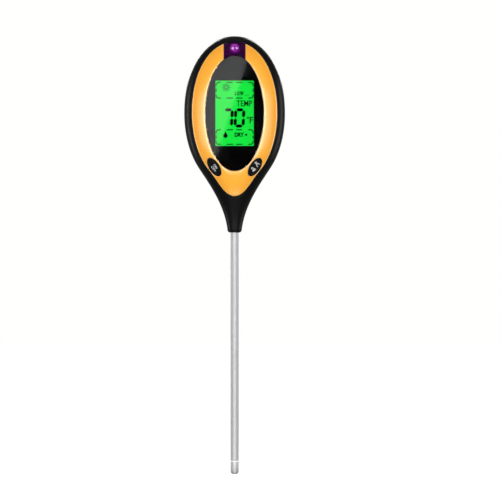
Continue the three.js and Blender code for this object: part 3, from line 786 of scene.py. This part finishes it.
def shell_form(rows, facing, columns=24):
    """A closed half of the housing over rows of (inner x, height)."""
    nets = []
    for side in (1, -1):
        grid = [
            [(side * x, y, z) for x, y, z in skin_row(inner_x, height, facing, columns)]
            for inner_x, height in rows
        ]
        nets.append(net(grid))
        end = grid[0]
        nets.append(net([[end[column], end[-1 - column]] for column in range((len(end) + 1) // 2)]))
    return joined(*nets)


def neck_heights(top, steps):
    """Heights from the neck's rounded end up to top."""
    end = [NECK_ROUND * down for _, down in round_off(NECK_END_STEPS)[:-1]]
    return end + [mix(NECK_ROUND, top, step / steps) for step in range(steps)]


def crown_heights(bottom, steps):
    """Heights from bottom up to the crown, closer together towards the top."""
    start = math.asin(((bottom - WIDEST) / CROWN) ** (WIDTH_POWER / 2))
    angles = [mix(start, math.pi / 2, step / steps) for step in range(1, steps + 1)]
    return [WIDEST + CROWN * math.sin(angle) ** (2 / WIDTH_POWER) for angle in angles]


def all_heights(neck_steps, crown_steps):
    """Heights from the neck's rounded end up to the crown."""
    return neck_heights(WIDEST, neck_steps) + [WIDEST] + crown_heights(WIDEST, crown_steps)


def front_housing():
    """The front shell's skin, with its rim rolled down into the pocket that holds the ring."""
    rim = offset(LEAF, RIM_GAP + RIM_ROUND)
    half = [(max(0.0, x), height) for x, height in rim[: len(rim) // 2 + 1]]
    below = [(0.0, height) for height in neck_heights(half[0][1], 26)]
    above = [(0.0, height) for height in crown_heights(half[-1][1], 10)]
    skin = shell_form(below + half + above, FRONT)

    rows = []
    for side, front in round_off(6):
        ring = offset(LEAF, RIM_GAP + RIM_ROUND * side)
        rows.append(
            [
                (x, head_y(*at, FRONT) + RIM_ROUND * front, NECK_Z + height)
                for (x, height), at in zip(ring, rim)
            ]
        )
    inner = []
    for x, height in rim:
        inner_x, y, z = head_point(height, -surface_angle(abs(x), height, FRONT), wall_at(height))
        inner.append((math.copysign(inner_x, x), y, z))
    rows.append([(x, min(-SEAM, y), z) for (x, _, z), (_, y, _) in zip(rows[-1], inner)])
    rows.append(inner)
    return solid("front_housing", joined(skin, net(rows, round_columns=True)))


def inner_form(inset):
    """The head's whole form, drawn in by inset, to keep what a shell holds inside."""
    heights = [0.6 * NECK_ROUND] + all_heights(30, 24)[NECK_END_STEPS:]
    angles = [step / 64 * 2 * math.pi - math.pi for step in range(64)]
    rows = []
    for height in heights:
        thin = min(inset, 0.3 * min(section(height)[:2]) + 0.02)
        rows.append([head_point(height, angle, thin) for angle in angles])
    rows.insert(0, [(0.0, 0.0, rows[0][0][2])] * len(angles))
    return net(rows, round_columns=True)


def inside_of(node_name, name):
    """What a CAD shell holds inside its skin: its deck, bosses, ribs and bay."""
    return combine(cad_copy(node_name, name), solid("keeper", inner_form(0.7)), "INTERSECT")


def cover_outline(grow=0.0):
    centre = (0, (COVER_TOP + COVER_BOTTOM) / 2)
    return rounded(centre, COVER_X + grow, (COVER_TOP - COVER_BOTTOM) / 2 + grow, COVER_ROUND + grow, 12, 10)


def back_surface(x, height):
    return head_y(x, height, BACK)


def thumb_notch():
    """A ball that hollows the back shell over the cover's upper edge."""
    height = COVER_TOP + 2.5
    centre_y = back_surface(0, height) + THUMB_RADIUS - THUMB_DEPTH
    half_turns = [step / 24 * math.pi for step in range(25)]
    profile = [polar((centre_y, 0), THUMB_RADIUS, math.pi - turn)[::-1] for turn in half_turns]
    return turned([(max(0.0, radius), place) for radius, place in profile], 64, (0, NECK_Z + height), "y")


def back_housing():
    rows = [(0.0, height) for height in all_heights(60, 40)]
    thing = solid("back_housing", shell_form(rows, BACK, 36))
    cut(thing, thumb_notch())
    cut(thing, flared(cover_outline(COVER_GAP), back_surface, 0.35, BACK))
    for screw in CASE_SCREWS:
        cut(thing, flared(oval(flat_middle(screw), SCREW_HOLE, SCREW_HOLE, 40), back_surface, 0.4, BACK))
    return thing


# ---- The face ----

KEYS = ("power", "unit")
KEY_LONG, KEY_SHORT, KEY_TILT = 6.4, 3.1, math.radians(33.5)
KEY_PROUD = 0.35
KEY_CROWN = 0.25
KEY_THICKNESS, KEY_STEM = 1.4, 2.6
WINDOW_X = node_box("light_window")[1].x + 0.25
NOTCH_GAP = 0.07

LCD_LOW, LCD_HIGH = node_box("lcd_glass")
LCD_CENTRE = (LCD_LOW.z + LCD_HIGH.z) / 2 - NECK_Z
VIEW_X = 0.46 * (LCD_HIGH.x - LCD_LOW.x)
VIEW_Z = 0.462 * (LCD_HIGH.z - LCD_LOW.z)

SENSOR_LOW, SENSOR_HIGH = node_box("light_sensor")
DOME_HEIGHT = middle("light_sensor").z - NECK_Z
DOME_RADIUS = 0.9 * SENSOR_HIGH.x
DOME_CURVE = 17


def lens_point(angle, reach, y):
    """The point at depth y that lies in a direction and at a distance from the lens's centre."""
    x, height = lens_place(angle, reach)
    return x, y, NECK_Z + height


def ring_profile(angle, outer):
    """The ring's section in a direction, as (reach, depth), from the back of its ledge round its face."""
    lip_gap, lip_round, outer_round, face_steps = 0.05, 0.4, 0.5, 24
    rounds = round_off(5)
    opening = oval_reach(angle, LENS_X + lip_gap, LENS_Z + lip_gap)
    ledge = oval_reach(angle, LENS_X - LEDGE, LENS_Z - LEDGE)
    start, end = opening + lip_round, outer - outer_round
    lip_y = face_y(*lens_place(angle, start))
    profile = [(ledge, RING_BACK_Y), (ledge, LEDGE_Y), (opening, LEDGE_Y)]
    profile += [(opening + lip_round * front, lip_y + lip_round * side) for side, front in rounds[:-1]]
    for step in range(face_steps + 1):
        reach = mix(start, end, step / face_steps)
        profile.append((reach, face_y(*lens_place(angle, reach))))
    edge_y = profile[-1][1]
    profile += [(outer - outer_round * side, edge_y + outer_round * front) for side, front in rounds[1:]]
    return [*profile, (outer, RING_BACK_Y)]


def ring_piece():
    """The orange ring: a ledge under the lens, a rounded lip, the crowned face and a rounded outer edge."""
    rows = []
    for place in LEAF:
        angle, outer = from_lens(*place)
        rows.append([lens_point(angle, reach, y) for reach, y in ring_profile(angle, outer)])
    thing = solid("ring", net(rows, round_rows=True, round_columns=True))
    for name in KEYS:
        cut(thing, flared(key_outline(name, 0.12), face_y, 0.45))
    return mend(cut(thing, flared(notch_outline(), notch_y, 0.7)))


def notch_outline():
    """The gap that the light window fills, from inside the lens's opening to above the ring."""
    low, high = LENS_HEIGHT + 0.5 * LENS_Z, HEAD_LENGTH
    return rounded((0, (low + high) / 2), WINDOW_X + NOTCH_GAP, (high - low) / 2, 0.2, 2, 40)


def notch_y(x, height):
    """The ring's front, carried on past its edges."""
    return face_y(x, min(crown_at(x) - 0.1, max(lens_top_at(x, 0.5), height)))


def key_outline(name, grow=0.0):
    centre = flat_middle(f"{name}_button")
    return oval(centre, KEY_SHORT + grow, KEY_LONG + grow, 72, -math.copysign(KEY_TILT, centre[0]))


def key_top(x, height):
    return face_y(x, height) - KEY_PROUD


def key_piece(name):
    flange_y = node_box(f"{name}_button")[1].y
    thing = solid(f"{name}_key", cap(key_outline(name), key_top, KEY_THICKNESS, 0.5, 10, KEY_CROWN))
    stem = cap(key_outline(name, -0.4), flat(flange_y - KEY_STEM), KEY_STEM, 0.2)
    return combine(thing, solid("stem", stem), "UNION")


def lens_piece():
    outline = oval((0, LENS_HEIGHT), LENS_X, LENS_Z, 160)
    return solid("lens", cap(outline, flat(LENS_Y), lens_high.y - lens_low.y, 0.08))


def mask_piece():
    """The black print behind the lens, with a window for the display."""
    front, back = lens_high.y + 0.06, lens_high.y + 0.16
    rows = []
    for step in range(240):
        angle = step / 240 * 2 * math.pi
        outer = oval_reach(angle, LENS_X - 0.15, LENS_Z - 0.15)
        inner = min(VIEW_X / max(1e-9, abs(math.cos(angle))), VIEW_Z / max(1e-9, abs(math.sin(angle))))
        profile = ((inner, back), (inner, front), (outer, front), (outer, back))
        rows.append([lens_point(angle, reach, y) for reach, y in profile])
    return solid("lens_print", net(rows, round_rows=True, round_columns=True))


def display_piece():
    half_x, half_y, half_z = half_size("lcd_glass")
    outline = rounded((0, LCD_CENTRE), half_x, half_z, 0.3, 3, 8)
    return solid("display", cap(outline, flat(LCD_LOW.y), 2 * half_y, 0.1))


def window_block(half, low_gap, top_gap, drop):
    """The space of the light window, between the lens's arc and the ring's crown."""
    columns, steps = 24, 14
    rows = []
    for column in range(columns + 1):
        x = mix(-half, half, column / columns)
        low, top = lens_top_at(x, low_gap), crown_at(x) - top_gap
        heights = [mix(low, top, step / steps) for step in range(steps + 1)]
        row = [(x, face_y(x, height) + drop, NECK_Z + height) for height in heights]
        rows.append(row + [(x, RING_BACK_Y + drop, NECK_Z + height) for height in (top, low)])
    ends = [(row, [list(range(len(row)))]) for row in (rows[0], rows[-1])]
    return joined(net(rows, round_columns=True), *ends)


def window_piece():
    """The clear cover, hollow behind, with a round hole for the sensor's dome."""
    skin = 1.0
    thing = solid("window", window_block(WINDOW_X, 0.15, 0.05, 0))
    cut(thing, window_block(WINDOW_X - skin, 0.15 + skin, skin, skin))
    return cut(thing, flared(dome_outline(0.08), face_y, 0.2))


def dome_outline(grow=0.0):
    return oval((0, DOME_HEIGHT), DOME_RADIUS + grow, DOME_RADIUS + grow, 64)


def dome_y(x, height):
    """The dome's front: rounder up and down than across, and steeper towards its edge."""
    up = height - DOME_HEIGHT - 0.3
    shoulder = (math.hypot(x, height - DOME_HEIGHT) / DOME_RADIUS) ** 4
    return SENSOR_LOW.y + x**2 / (2 * DOME_CURVE) + 1.25 * up**2 / DOME_CURVE + 0.35 * shoulder


def sensor_piece():
    """The light sensor's dome on its flange."""
    flange, foot, back = SENSOR_HIGH.x, SENSOR_HIGH.y - 0.6, SENSOR_HIGH.y
    stem, root = 0.9 * DOME_RADIUS, SENSOR_LOW.y + 2.4
    thing = solid("sensor", cap(dome_outline(), dome_y, 3.0, 0.4, 16))
    base = [(0.0, root), (stem, root), (stem, foot), (flange, foot), (flange, back), (0.0, back)]
    return combine(thing, solid("base", turned(base, 48, (0, NECK_Z + DOME_HEIGHT), "y")), "UNION")


def guide_piece():
    """The light guide that leads up from the dome, close under the window."""
    low, top = DOME_HEIGHT + 0.6 * DOME_RADIUS, RING_TOP - 1.15
    half, bevel = 0.72 * DOME_RADIUS, 0.3
    outline = [(-half, low), (half, low), (half, top - bevel)]
    outline += [(half - bevel, top), (bevel - half, top), (-half, top - bevel)]
    thing = solid("sensor_guide", cap(outline, lambda x, height: face_y(x, height) + 1.1, 0.8, 0.2, 3))
    return cut(thing, cap(dome_outline(0.05), flat(-14), 10))


# ---- The readout and the key marks, drawn flat and then laid on their surface ----


def stroke(points, width):
    """A line of even width along points, as polygons."""
    polygons = []
    for (x0, y0), (x1, y1) in zip(points, points[1:]):
        along = Vector((x1 - x0, y1 - y0)).normalized() * width / 2
        side = Vector((-along.y, along.x))
        reach = along * 0.35
        back, front = (x0 - reach.x, y0 - reach.y), (x1 + reach.x, y1 + reach.y)
        corners = ((back, 1), (back, -1), (front, -1), (front, 1))
        polygons.append([(x + sign * side.x, y + sign * side.y) for (x, y), sign in corners])
    return polygons


def arc(centre, radius, start, end, steps=8):
    """Points on an arc, from start to end in degrees."""
    return [polar(centre, radius, math.radians(mix(start, end, step / steps))) for step in range(steps + 1)]


def words(text, centre, height, width, weight):
    """Lettering of an exact height and width, as polygons."""
    curve = bpy.data.curves.new("words", "FONT")
    curve.body = text
    curve.resolution_u = 4
    curve.offset = weight
    holder = linked("words", curve)
    bpy.context.view_layer.update()
    mesh = baked(holder)

    def fitted(values, centre, size):
        low, high = min(values), max(values)
        return [centre + (value - (high + low) / 2) * (size / (high - low)) for value in values]

    xs = fitted([vertex.co.x for vertex in mesh.vertices], centre[0], width)
    ys = fitted([vertex.co.y for vertex in mesh.vertices], centre[1], height)
    polygons = [[(xs[index], ys[index]) for index in polygon.vertices] for polygon in mesh.polygons]
    bpy.data.objects.remove(holder)
    bpy.data.meshes.remove(mesh)
    return polygons


def ink_piece(name, polygons, surface, thickness):
    """Flat polygons laid on a surface and given a little thickness."""
    shape = bmesh.new()
    for polygon in polygons:
        shape.faces.new([shape.verts.new((x, 0, height)) for x, height in polygon])
    bmesh.ops.remove_doubles(shape, verts=shape.verts, dist=1e-4)
    grown = bmesh.ops.extrude_face_region(shape, geom=list(shape.faces), use_keep_orig=True)
    raised = {element for element in grown["geom"] if isinstance(element, bmesh.types.BMVert)}
    for vertex in shape.verts:
        x, height = vertex.co.x, vertex.co.z
        lift = thickness if vertex in raised else 0.0
        vertex.co = Vector((x, surface(x, height) - 0.01 - lift, NECK_Z + height)) * MM
    bmesh.ops.recalc_face_normals(shape, faces=shape.faces)
    mesh = bpy.data.meshes.new(name)
    shape.to_mesh(mesh)
    shape.free()
    return linked(name, mesh)


# The ends of a digit's segments, by column and by row from the bottom.
SEGMENTS = {
    "a": ((0, 2), (1, 2)), "b": ((1, 2), (1, 1)), "c": ((1, 1), (1, 0)),
    "d": ((0, 0), (1, 0)), "e": ((0, 1), (0, 0)), "f": ((0, 2), (0, 1)),
}


def seven_segment(lit, low, high, slant, thick):
    """A leaning digit between two corners. lit names its lit segments."""
    polygons = []
    for name in lit:
        start, end = (
            Vector((mix(low[0], high[0], column), mix(low[1], high[1], row / 2)))
            for column, row in SEGMENTS[name]
        )
        along = (end - start).normalized() * thick
        side, inner, gap = Vector((-along.y, along.x)) / 2, along / 2, along * 0.12
        start += gap
        end -= gap
        corners = [start, start + inner + side, end - inner + side]
        corners += [end, end - inner - side, start + inner - side]
        polygons.append([(c.x + (c.y - low[1]) * slant, c.y) for c in corners])
    return polygons


def dashed_box(low, high, radius, width):
    """A rounded box in dashes: one round each corner, two along each long side and one on each short."""
    (x0, y0), (x1, y1) = low, high
    span, rise = x1 - x0, y1 - y0
    polygons = []
    for sign_x, sign_y, start in ((1, 1, 0), (-1, 1, 90), (-1, -1, 180), (1, -1, 270)):
        edge_x, edge_y = (x1 if sign_x > 0 else x0), (y1 if sign_y > 0 else y0)
        centre = (edge_x - sign_x * radius, edge_y - sign_y * radius)
        bend = arc(centre, radius, start, start + 90)[:: sign_x * sign_y]
        tail = (edge_x, centre[1] - sign_y * 0.06 * rise)
        nose = (centre[0] - sign_x * 0.05 * span, edge_y)
        polygons += stroke([tail, *bend, nose], width)
    half_dash, reach, middle_y = 0.078 * span, 0.1 * rise, (y0 + y1) / 2
    for edge_y in (y0, y1):
        for place in (x0 + span * 0.37, x0 + span * 0.63):
            polygons += stroke([(place - half_dash, edge_y), (place + half_dash, edge_y)], width)
    for edge_x in (x0, x1):
        polygons += stroke([(edge_x, middle_y - reach), (edge_x, middle_y + reach)], width)
    return polygons


def sun_mark(centre, size, line):
    """A small ring with eight short rays."""
    polygons = stroke(arc(centre, 0.5 * size, 0, 360, 20), line)
    for ray in range(8):
        turn = math.radians(45 * ray)
        polygons += stroke([polar(centre, reach, turn) for reach in (0.8 * size, 1.15 * size)], line)
    return polygons


def readout_piece():
    """Light low, 70 degrees and dry, as the display shows them. Places are shares of the view."""
    wide, tall = 2 * VIEW_X, 2 * VIEW_Z

    def at(u, v):
        return wide * u, LCD_CENTRE + tall * v

    line = 0.026 * wide
    radius = 0.07 * wide
    polygons = dashed_box(at(-0.482, 0.233), at(0.482, 0.474), radius, line)
    polygons += dashed_box(at(-0.482, -0.476), at(0.482, -0.253), radius, line)
    polygons += sun_mark(at(-0.22, 0.397), 0.094 * wide, 0.85 * line)
    polygons += words("L O W", at(0.122, 0.305), 0.062 * tall, 0.226 * wide, 0.07)
    for u in (0.29, 0.35):
        polygons += stroke([at(u - 0.02, 0.278), at(u + 0.02, 0.278)], 0.4 * line)

    polygons += words("TEMP", at(0.256, 0.152), 0.09 * tall, 0.406 * wide, 0.012)
    thick, slant = 0.08 * wide, 0.05
    low, high = -0.195, 0.053
    polygons += seven_segment("abc", at(-0.285, low), at(-0.08, high), slant, thick)
    polygons += seven_segment("abcdef", at(0.012, low), at(0.222, high), slant, thick)
    polygons += stroke(arc(at(0.348, -0.069), 0.02 * wide, 0, 360, 14), 0.6 * line)
    polygons += words("F", at(0.441, -0.104), 0.097 * tall, 0.1 * wide, 0.015)

    drop = at(-0.238, -0.345)
    size = 0.056 * wide
    bulb = arc(drop, size, -205, 25, 20)
    polygons.append([*bulb, (drop[0], drop[1] + 2.0 * size)])
    polygons += words("DRY", at(0.1245, -0.328), 0.067 * tall, 0.245 * wide, 0.05)
    for ends in (((0.272, -0.33), (0.332, -0.33)), ((0.302, -0.348), (0.302, -0.312))):
        polygons += stroke([at(*ends[0]), at(*ends[1])], line)
    return ink_piece("readout", polygons, flat(LCD_LOW.y), 0.05)


def turned_flat(polygons, turn, centre):
    """Flat polygons turned about their origin and moved to centre."""
    return [[spun(x, y, turn, centre) for x, y in polygon] for polygon in polygons]


def degree_mark():
    return stroke(arc((-1.15, 0.4), 0.55, 0, 360, 12), 0.26)


def key_marks(name):
    """White marks: two words along the left key, and the two degree signs across the right key."""
    x, height = flat_middle(f"{name}_button")
    if name == "power":
        polygons = words("ON", (0.1, 0.9), 1.3, 3.0, 0) + words("OFF", (0.7, -0.9), 1.3, 4.1, 0)
        placed = turned_flat(polygons, KEY_TILT - math.pi / 2, (x, height))
    else:
        upper = degree_mark() + words("C", (0.85, 0), 2.3, 2.1, 0)
        lower = degree_mark() + words("F", (0.85, 0), 2.3, 1.8, 0)
        placed = turned_flat(upper, -KEY_TILT, (x + 1.2, height + 1.7))
        placed += turned_flat(lower, -KEY_TILT, (x - 0.95, height - 1.75))

    def print_surface(px, ph):
        long_share = math.hypot(px - x, ph - height) / KEY_LONG
        return key_top(px, ph) - KEY_CROWN * (1 - long_share**2)

    return ink_piece(f"{name}_marks", placed, print_surface, 0.04)


# ---- The probe ----

PROBE_SIDES = 72


def probe_tube():
    low, high = node_box("probe_tube")
    bore = PROBE_RADIUS - 0.4
    profile = [
        (bore, low.z), (PROBE_RADIUS - 0.08, low.z), (PROBE_RADIUS, low.z + 0.08),
        (PROBE_RADIUS, NECK_Z / 2), (PROBE_RADIUS, high.z), (bore, high.z),
    ]
    return solid("rod", turned(profile, PROBE_SIDES))


def probe_tip():
    _, high = node_box("probe_tip")
    shoulder = node_box("probe_insulator")[0].z - 0.1
    flat, bevel = PROBE_RADIUS - 0.85, 1.0
    spigot = high.x * 0.54
    profile = [(0.0, 0.0), (flat - 0.1, 0.0), (flat, 0.04)]
    profile += [(PROBE_RADIUS - 0.06, bevel - 0.06), (PROBE_RADIUS, bevel + 0.05)]
    profile += [(PROBE_RADIUS, shoulder - 0.08), (PROBE_RADIUS - 0.08, shoulder)]
    profile += [(spigot, shoulder), (spigot, high.z), (0.0, high.z)]
    return solid("tip", turned(profile, PROBE_SIDES))


def probe_insulator():
    low, high = node_box("probe_insulator")
    top = node_box("probe_tube")[0].z - 0.05
    sleeve, bore = PROBE_RADIUS - 0.5, 1.5
    profile = [
        (bore, low.z), (PROBE_RADIUS - 0.1, low.z), (PROBE_RADIUS, low.z + 0.1), (PROBE_RADIUS, top - 0.1),
        (PROBE_RADIUS - 0.1, top), (sleeve, top), (sleeve, high.z), (bore, high.z),
    ]
    return solid("spacer", turned(profile, PROBE_SIDES))


# ---- The back ----


def cover_piece():
    """The battery cover, with finger ridges at its top and the CAD's two hooks."""
    thing = solid("cover", cap(cover_outline(), back_surface, COVER_THICKNESS, 0.4, 24, facing=BACK))
    for number in range(5):
        ridge = rounded((0, COVER_TOP - 6 - 2.0 * number), 5.5 - 0.35 * number, 0.45, 0.44, 6, 10)
        bar = cap(ridge, lambda x, up: back_surface(x, up) + 0.3, 1.0, 0.25, 2, facing=BACK)
        combine(thing, solid("ridge", bar), "UNION")
    low, high = node_box("battery_cover")
    box_high = (high.x, high.y - 0.9 * COVER_THICKNESS - 0.6, NECK_Z + COVER_BOTTOM + 1.5)
    below = solid("below", brick((low.x, low.y - 1, low.z - 1), box_high))
    hooks = combine(cad_copy("battery_cover", "hooks"), below, "INTERSECT")
    return combine(thing, hooks, "UNION")


def screw_piece(name):
    """A pan-head screw with a cross recess, its head towards the back."""
    low, high = node_box(name)
    centre = middle(name)
    head = half_size(name)[0]
    shank, root, pitch = head * 0.54, head * 0.54 * 0.78, 0.9
    seat = high.y - 1.56
    pan = seat + 0.5
    profile = [(0.0, high.y)]
    for step in range(1, 9):
        turn = step / 8 * math.pi / 2
        profile.append((head * math.sin(turn) * 0.98, pan + (high.y - pan) * math.cos(turn)))
    profile += [(head, seat + 0.3), (head * 0.96, seat), (shank, seat)]
    for turn in range(int((seat - low.y - 1.2) / pitch)):
        place = seat - 0.5 - turn * pitch
        profile += [(root, place), (shank, place - pitch / 2)]
    profile += [(root, low.y + 0.8), (0.0, low.y)]
    thing = solid(f"{name}_shape", turned(profile, 40, (centre.x, centre.z), "y"))
    arm, half = head * 0.52, head * 0.11
    for across, up in ((arm, half), (half, arm)):
        low_corner = (centre.x - across, high.y - 0.8, centre.z - up)
        cut(thing, brick(low_corner, (centre.x + across, high.y + 1, centre.z + up)))
    return thing


def upright_form(outline, low, high, edge, depth_centre):
    """A standing prism with rounded ends over an outline in x and depth."""
    rounds = round_off(4)
    levels = [(side, low + edge * front) for side, front in rounds]
    levels += [(side, high - edge * front) for side, front in reversed(rounds)]
    rows = [[(x, depth_centre + y, z) for x, y in offset(outline, -edge * side)] for side, z in levels]
    ends = [[(0.0, depth_centre, z)] * len(outline) for z in (low, high)]
    return net([ends[0], *rows, ends[1]], round_columns=True)


def battery_piece():
    low, high = node_box("battery")
    half_x, half_y, _ = half_size("battery")
    outline = rounded((0, 0), half_x, half_y, 2.2, 8, 2)
    return solid("battery_body", upright_form(outline, low.z, high.z, 0.7, middle("battery").y))


def pad_piece():
    low, high = node_box("cover_pad")
    half_x, _, half_z = half_size("cover_pad")
    outline = rounded((0, flat_middle("cover_pad")[1]), half_x, half_z, 2.0, 8, 8)
    front, crown = low.y + 0.25, 0.2
    return solid("pad", cap(outline, flat(front), high.y - front, 0.6, 8, crown))


# ---- Assembly ----


def build_object():
    finish_piece(front_housing(), "shell", replaced=["front_shell"])
    finish_piece(inside_of("front_shell", "front_deck"), "shell")
    finish_piece(back_housing(), "shell", replaced=["back_shell"])
    finish_piece(inside_of("back_shell", "battery_bay"), "shell")
    finish_piece(ring_piece(), "ring", replaced=["face_ring"])
    finish_piece(lens_piece(), "lens", replaced=["display_lens"])
    finish_piece(mask_piece(), "mask")
    finish_piece(display_piece(), "display", replaced=["lcd_glass"])
    finish_piece(readout_piece(), "ink")
    finish_piece(window_piece(), "window", replaced=["light_window"])
    finish_piece(sensor_piece(), "sensor", replaced=["light_sensor"])
    finish_piece(guide_piece(), "guide")
    for name in KEYS:
        finish_piece(key_piece(name), "key", f"{name}_key", replaced=[f"{name}_button"])
        finish_piece(key_marks(name), "print", f"{name}_key")
    finish_piece(probe_tube(), "aluminium", replaced=["probe_tube"])
    finish_piece(probe_tip(), "tip", replaced=["probe_tip"])
    finish_piece(probe_insulator(), "nylon", replaced=["probe_insulator"])
    finish_piece(cover_piece(), "shell", "door", replaced=["battery_cover"])
    pad = finish_piece(pad_piece(), "foam", "door", replaced=["cover_pad"])
    for screw in CASE_SCREWS:
        finish_piece(screw_piece(screw), "steel", replaced=[screw])
    finish_piece(battery_piece(), "battery_jacket", replaced=["battery"])


def dress_cad():
    """Gives the hidden CAD pieces, which keep their own shapes, their materials."""
    kept = {
        "switch_case": ("power_switch", "unit_switch"),
        "nylon": ("power_plunger", "unit_plunger"),
        "light_guide": ("lcd_backlight",),
        "zebra": ("zebra_strip_upper", "zebra_strip_lower"),
        "board": ("main_board",),
        "chip": ("main_chip", "thermistor"),
        "nickel": ("battery_plus_terminal", "battery_minus_terminal"),
        "vinyl": ("battery_snap", "battery_lead_black", "core_cable", "tube_lead"),
        "red_wire": ("battery_lead_red",),
        "brass": ("probe_collar",),
        "steel": [f"board_screw_{number}" for number in range(1, 5)],
    }
    for look, node_names in kept.items():
        for node_name in node_names:
            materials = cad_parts[node_name].data.materials
            materials.clear()
            materials.append(LOOKS[look])


# ---- Camera, light and floor ----

VIEW_SIZE = 312.9  # what the picture takes in, across, at the object
VIEW_CENTRE = Vector((9.62, 0, 140.1))
DISTANCE = 2500
EYE = VIEW_CENTRE - Vector((0, DISTANCE, 0))
HEAD_CENTRE = Vector((0, 0, NECK_Z + LENS_HEIGHT))
PAPER = (1.0, 1.0, 0.982)


def make_camera():
    data = bpy.data.cameras.new("camera")
    data.sensor_width = 36
    data.lens = data.sensor_width * DISTANCE / VIEW_SIZE
    data.clip_start, data.clip_end = 0.1, 100
    camera = linked("camera", data)
    camera.location = EYE * MM
    camera.rotation_euler = (math.pi / 2, 0, 0)
    bpy.context.scene.camera = camera


def softbox(name, azimuth, elevation, distance, width, height, radiance, target):
    """An area light that faces its target. Azimuth 0 is in front, 90 to the right."""
    turn, rise = math.radians(azimuth), math.radians(elevation)
    away = Vector((math.sin(turn) * math.cos(rise), -math.cos(turn) * math.cos(rise), math.sin(rise)))
    data = bpy.data.lights.new(name, "AREA")
    data.shape = "RECTANGLE"
    data.size, data.size_y = width * MM, height * MM
    data.energy = radiance * math.pi * data.size * data.size_y
    light = linked(name, data)
    light.location = (target + away * distance) * MM
    light.rotation_euler = away.to_track_quat("Z", "Y").to_euler()


def seen_in_lens(x, height, card_y):
    """Where a card at depth card_y meets the ray that the camera sees mirrored at a place on the lens."""
    place = Vector((x, LENS_Y, NECK_Z + height))
    ray = place - EYE
    travel = (place.y - card_y) / ray.y
    return Vector((place.x + ray.x * travel, card_y, place.z + ray.z * travel))


def sheet(name, corners, look):
    """A flat stage piece of one face."""
    mesh = bpy.data.meshes.new(name)
    mesh.from_pydata([corner * MM for corner in corners], [], [list(range(len(corners)))])
    mesh.materials.append(look)
    thing = linked(name, mesh)
    return thing


def card(name, places, card_y, look):
    """A card that the camera sees only mirrored in the object, over places on the lens."""
    thing = sheet(name, [seen_in_lens(x, height, card_y) for x, height in places], look)
    thing.visible_camera = False
    thing.visible_shadow = False


def make_cards():
    """A lit card whose slanting edge crosses the lens, and a dark one behind it."""
    dark = material("dark_card", (0.0, 0.0, 0.0), 0.9, Specular_IOR_Level=0.1)
    card("dark_card", [(-30, 30), (30, 30), (30, 120), (-30, 120)], -2450, dark)

    lit = material("lit_card", (0, 0, 0), 0.5, Emission_Color=(1, 1, 1, 1), Emission_Strength=0.86)
    edge_low, edge_high = (-0.63 * LENS_X, 0.39 * HEAD_LENGTH), (0.435 * LENS_X, 0.867 * HEAD_LENGTH)
    slope = (edge_high[0] - edge_low[0]) / (edge_high[1] - edge_low[1])
    low, high, left = 20, 125, -40
    low_x, high_x = (x + (height - up) * slope for (x, up), height in ((edge_low, low), (edge_high, high)))
    card("lit_card", [(left, low), (low_x, low), (high_x, high), (left, high)], -2400, lit)


def make_floor():
    floor_z, reach = -60, 6000
    glow = {"Emission_Color": (*PAPER, 1), "Emission_Strength": 1.0}
    look = material("floor_white", (0.1, 0.1, 0.1), 1.0, Specular_IOR_Level=0.0, **glow)
    corners = ((-reach, -reach), (reach, -reach), (reach, reach), (-reach, reach))
    floor = sheet("floor", [Vector((x, y, floor_z)) for x, y in corners], look)
    floor.visible_glossy = floor.visible_diffuse = floor.visible_transmission = False


def make_world():
    """White to the camera, and a softer grey as light, so that the black edges stay dark."""
    world = bpy.data.worlds.new("studio")
    bpy.context.scene.world = world
    world.use_nodes = True
    tree = world.node_tree
    tree.nodes.clear()
    kinds = ("LightPath", "Background", "Background", "MixShader", "OutputWorld")
    path, seen, light, both, out = (tree.nodes.new(f"ShaderNode{kind}") for kind in kinds)
    seen.inputs["Color"].default_value = (*PAPER, 1)
    light.inputs["Color"].default_value = (1, 1, 1, 1)
    light.inputs["Strength"].default_value = 0.3
    tree.links.new(path.outputs["Is Camera Ray"], both.inputs["Fac"])
    tree.links.new(light.outputs["Background"], both.inputs[1])
    tree.links.new(seen.outputs["Background"], both.inputs[2])
    tree.links.new(both.outputs["Shader"], out.inputs["Surface"])


# Lights: name, azimuth, elevation, distance, width, height and radiance.
STRIPS = (
    ("strip_0", 10, 0, 1500, 160, 600, 18.75),
    ("strip_1", 24, 0, 1500, 370, 600, 5.9),
    ("strip_2", 38, 0, 1500, 370, 600, 2.2),
    ("strip_3", 52, 0, 1500, 370, 600, 1.2),
    ("side", 95, 0, 900, 240, 600, 5.5),
    ("rear", 158, 26, 1500, 500, 800, 9),
)
FILLS = (
    ("top", 0, 60, 1200, 900, 700, 0.8),
    ("low", 0, -60, 1200, 900, 700, 1.4),
    ("crown", 0, 92, 1000, 500, 240, 0.6),
    ("base", 0, -92, 1000, 500, 240, 0.6),
)
STRIP_TARGET = Vector((0, 0, 170))


def make_studio():
    make_camera()
    make_world()
    make_floor()
    make_cards()
    for name, azimuth, *rest in STRIPS:
        softbox(f"left_{name}", -azimuth, *rest, STRIP_TARGET)
        softbox(f"right_{name}", azimuth, *rest, STRIP_TARGET)
    for fill in FILLS:
        softbox(*fill, HEAD_CENTRE)
    scene = bpy.context.scene
    scene.view_settings.view_transform = "Standard"
    scene.view_settings.look = "None"


make_studio()
build_object()
dress_cad()
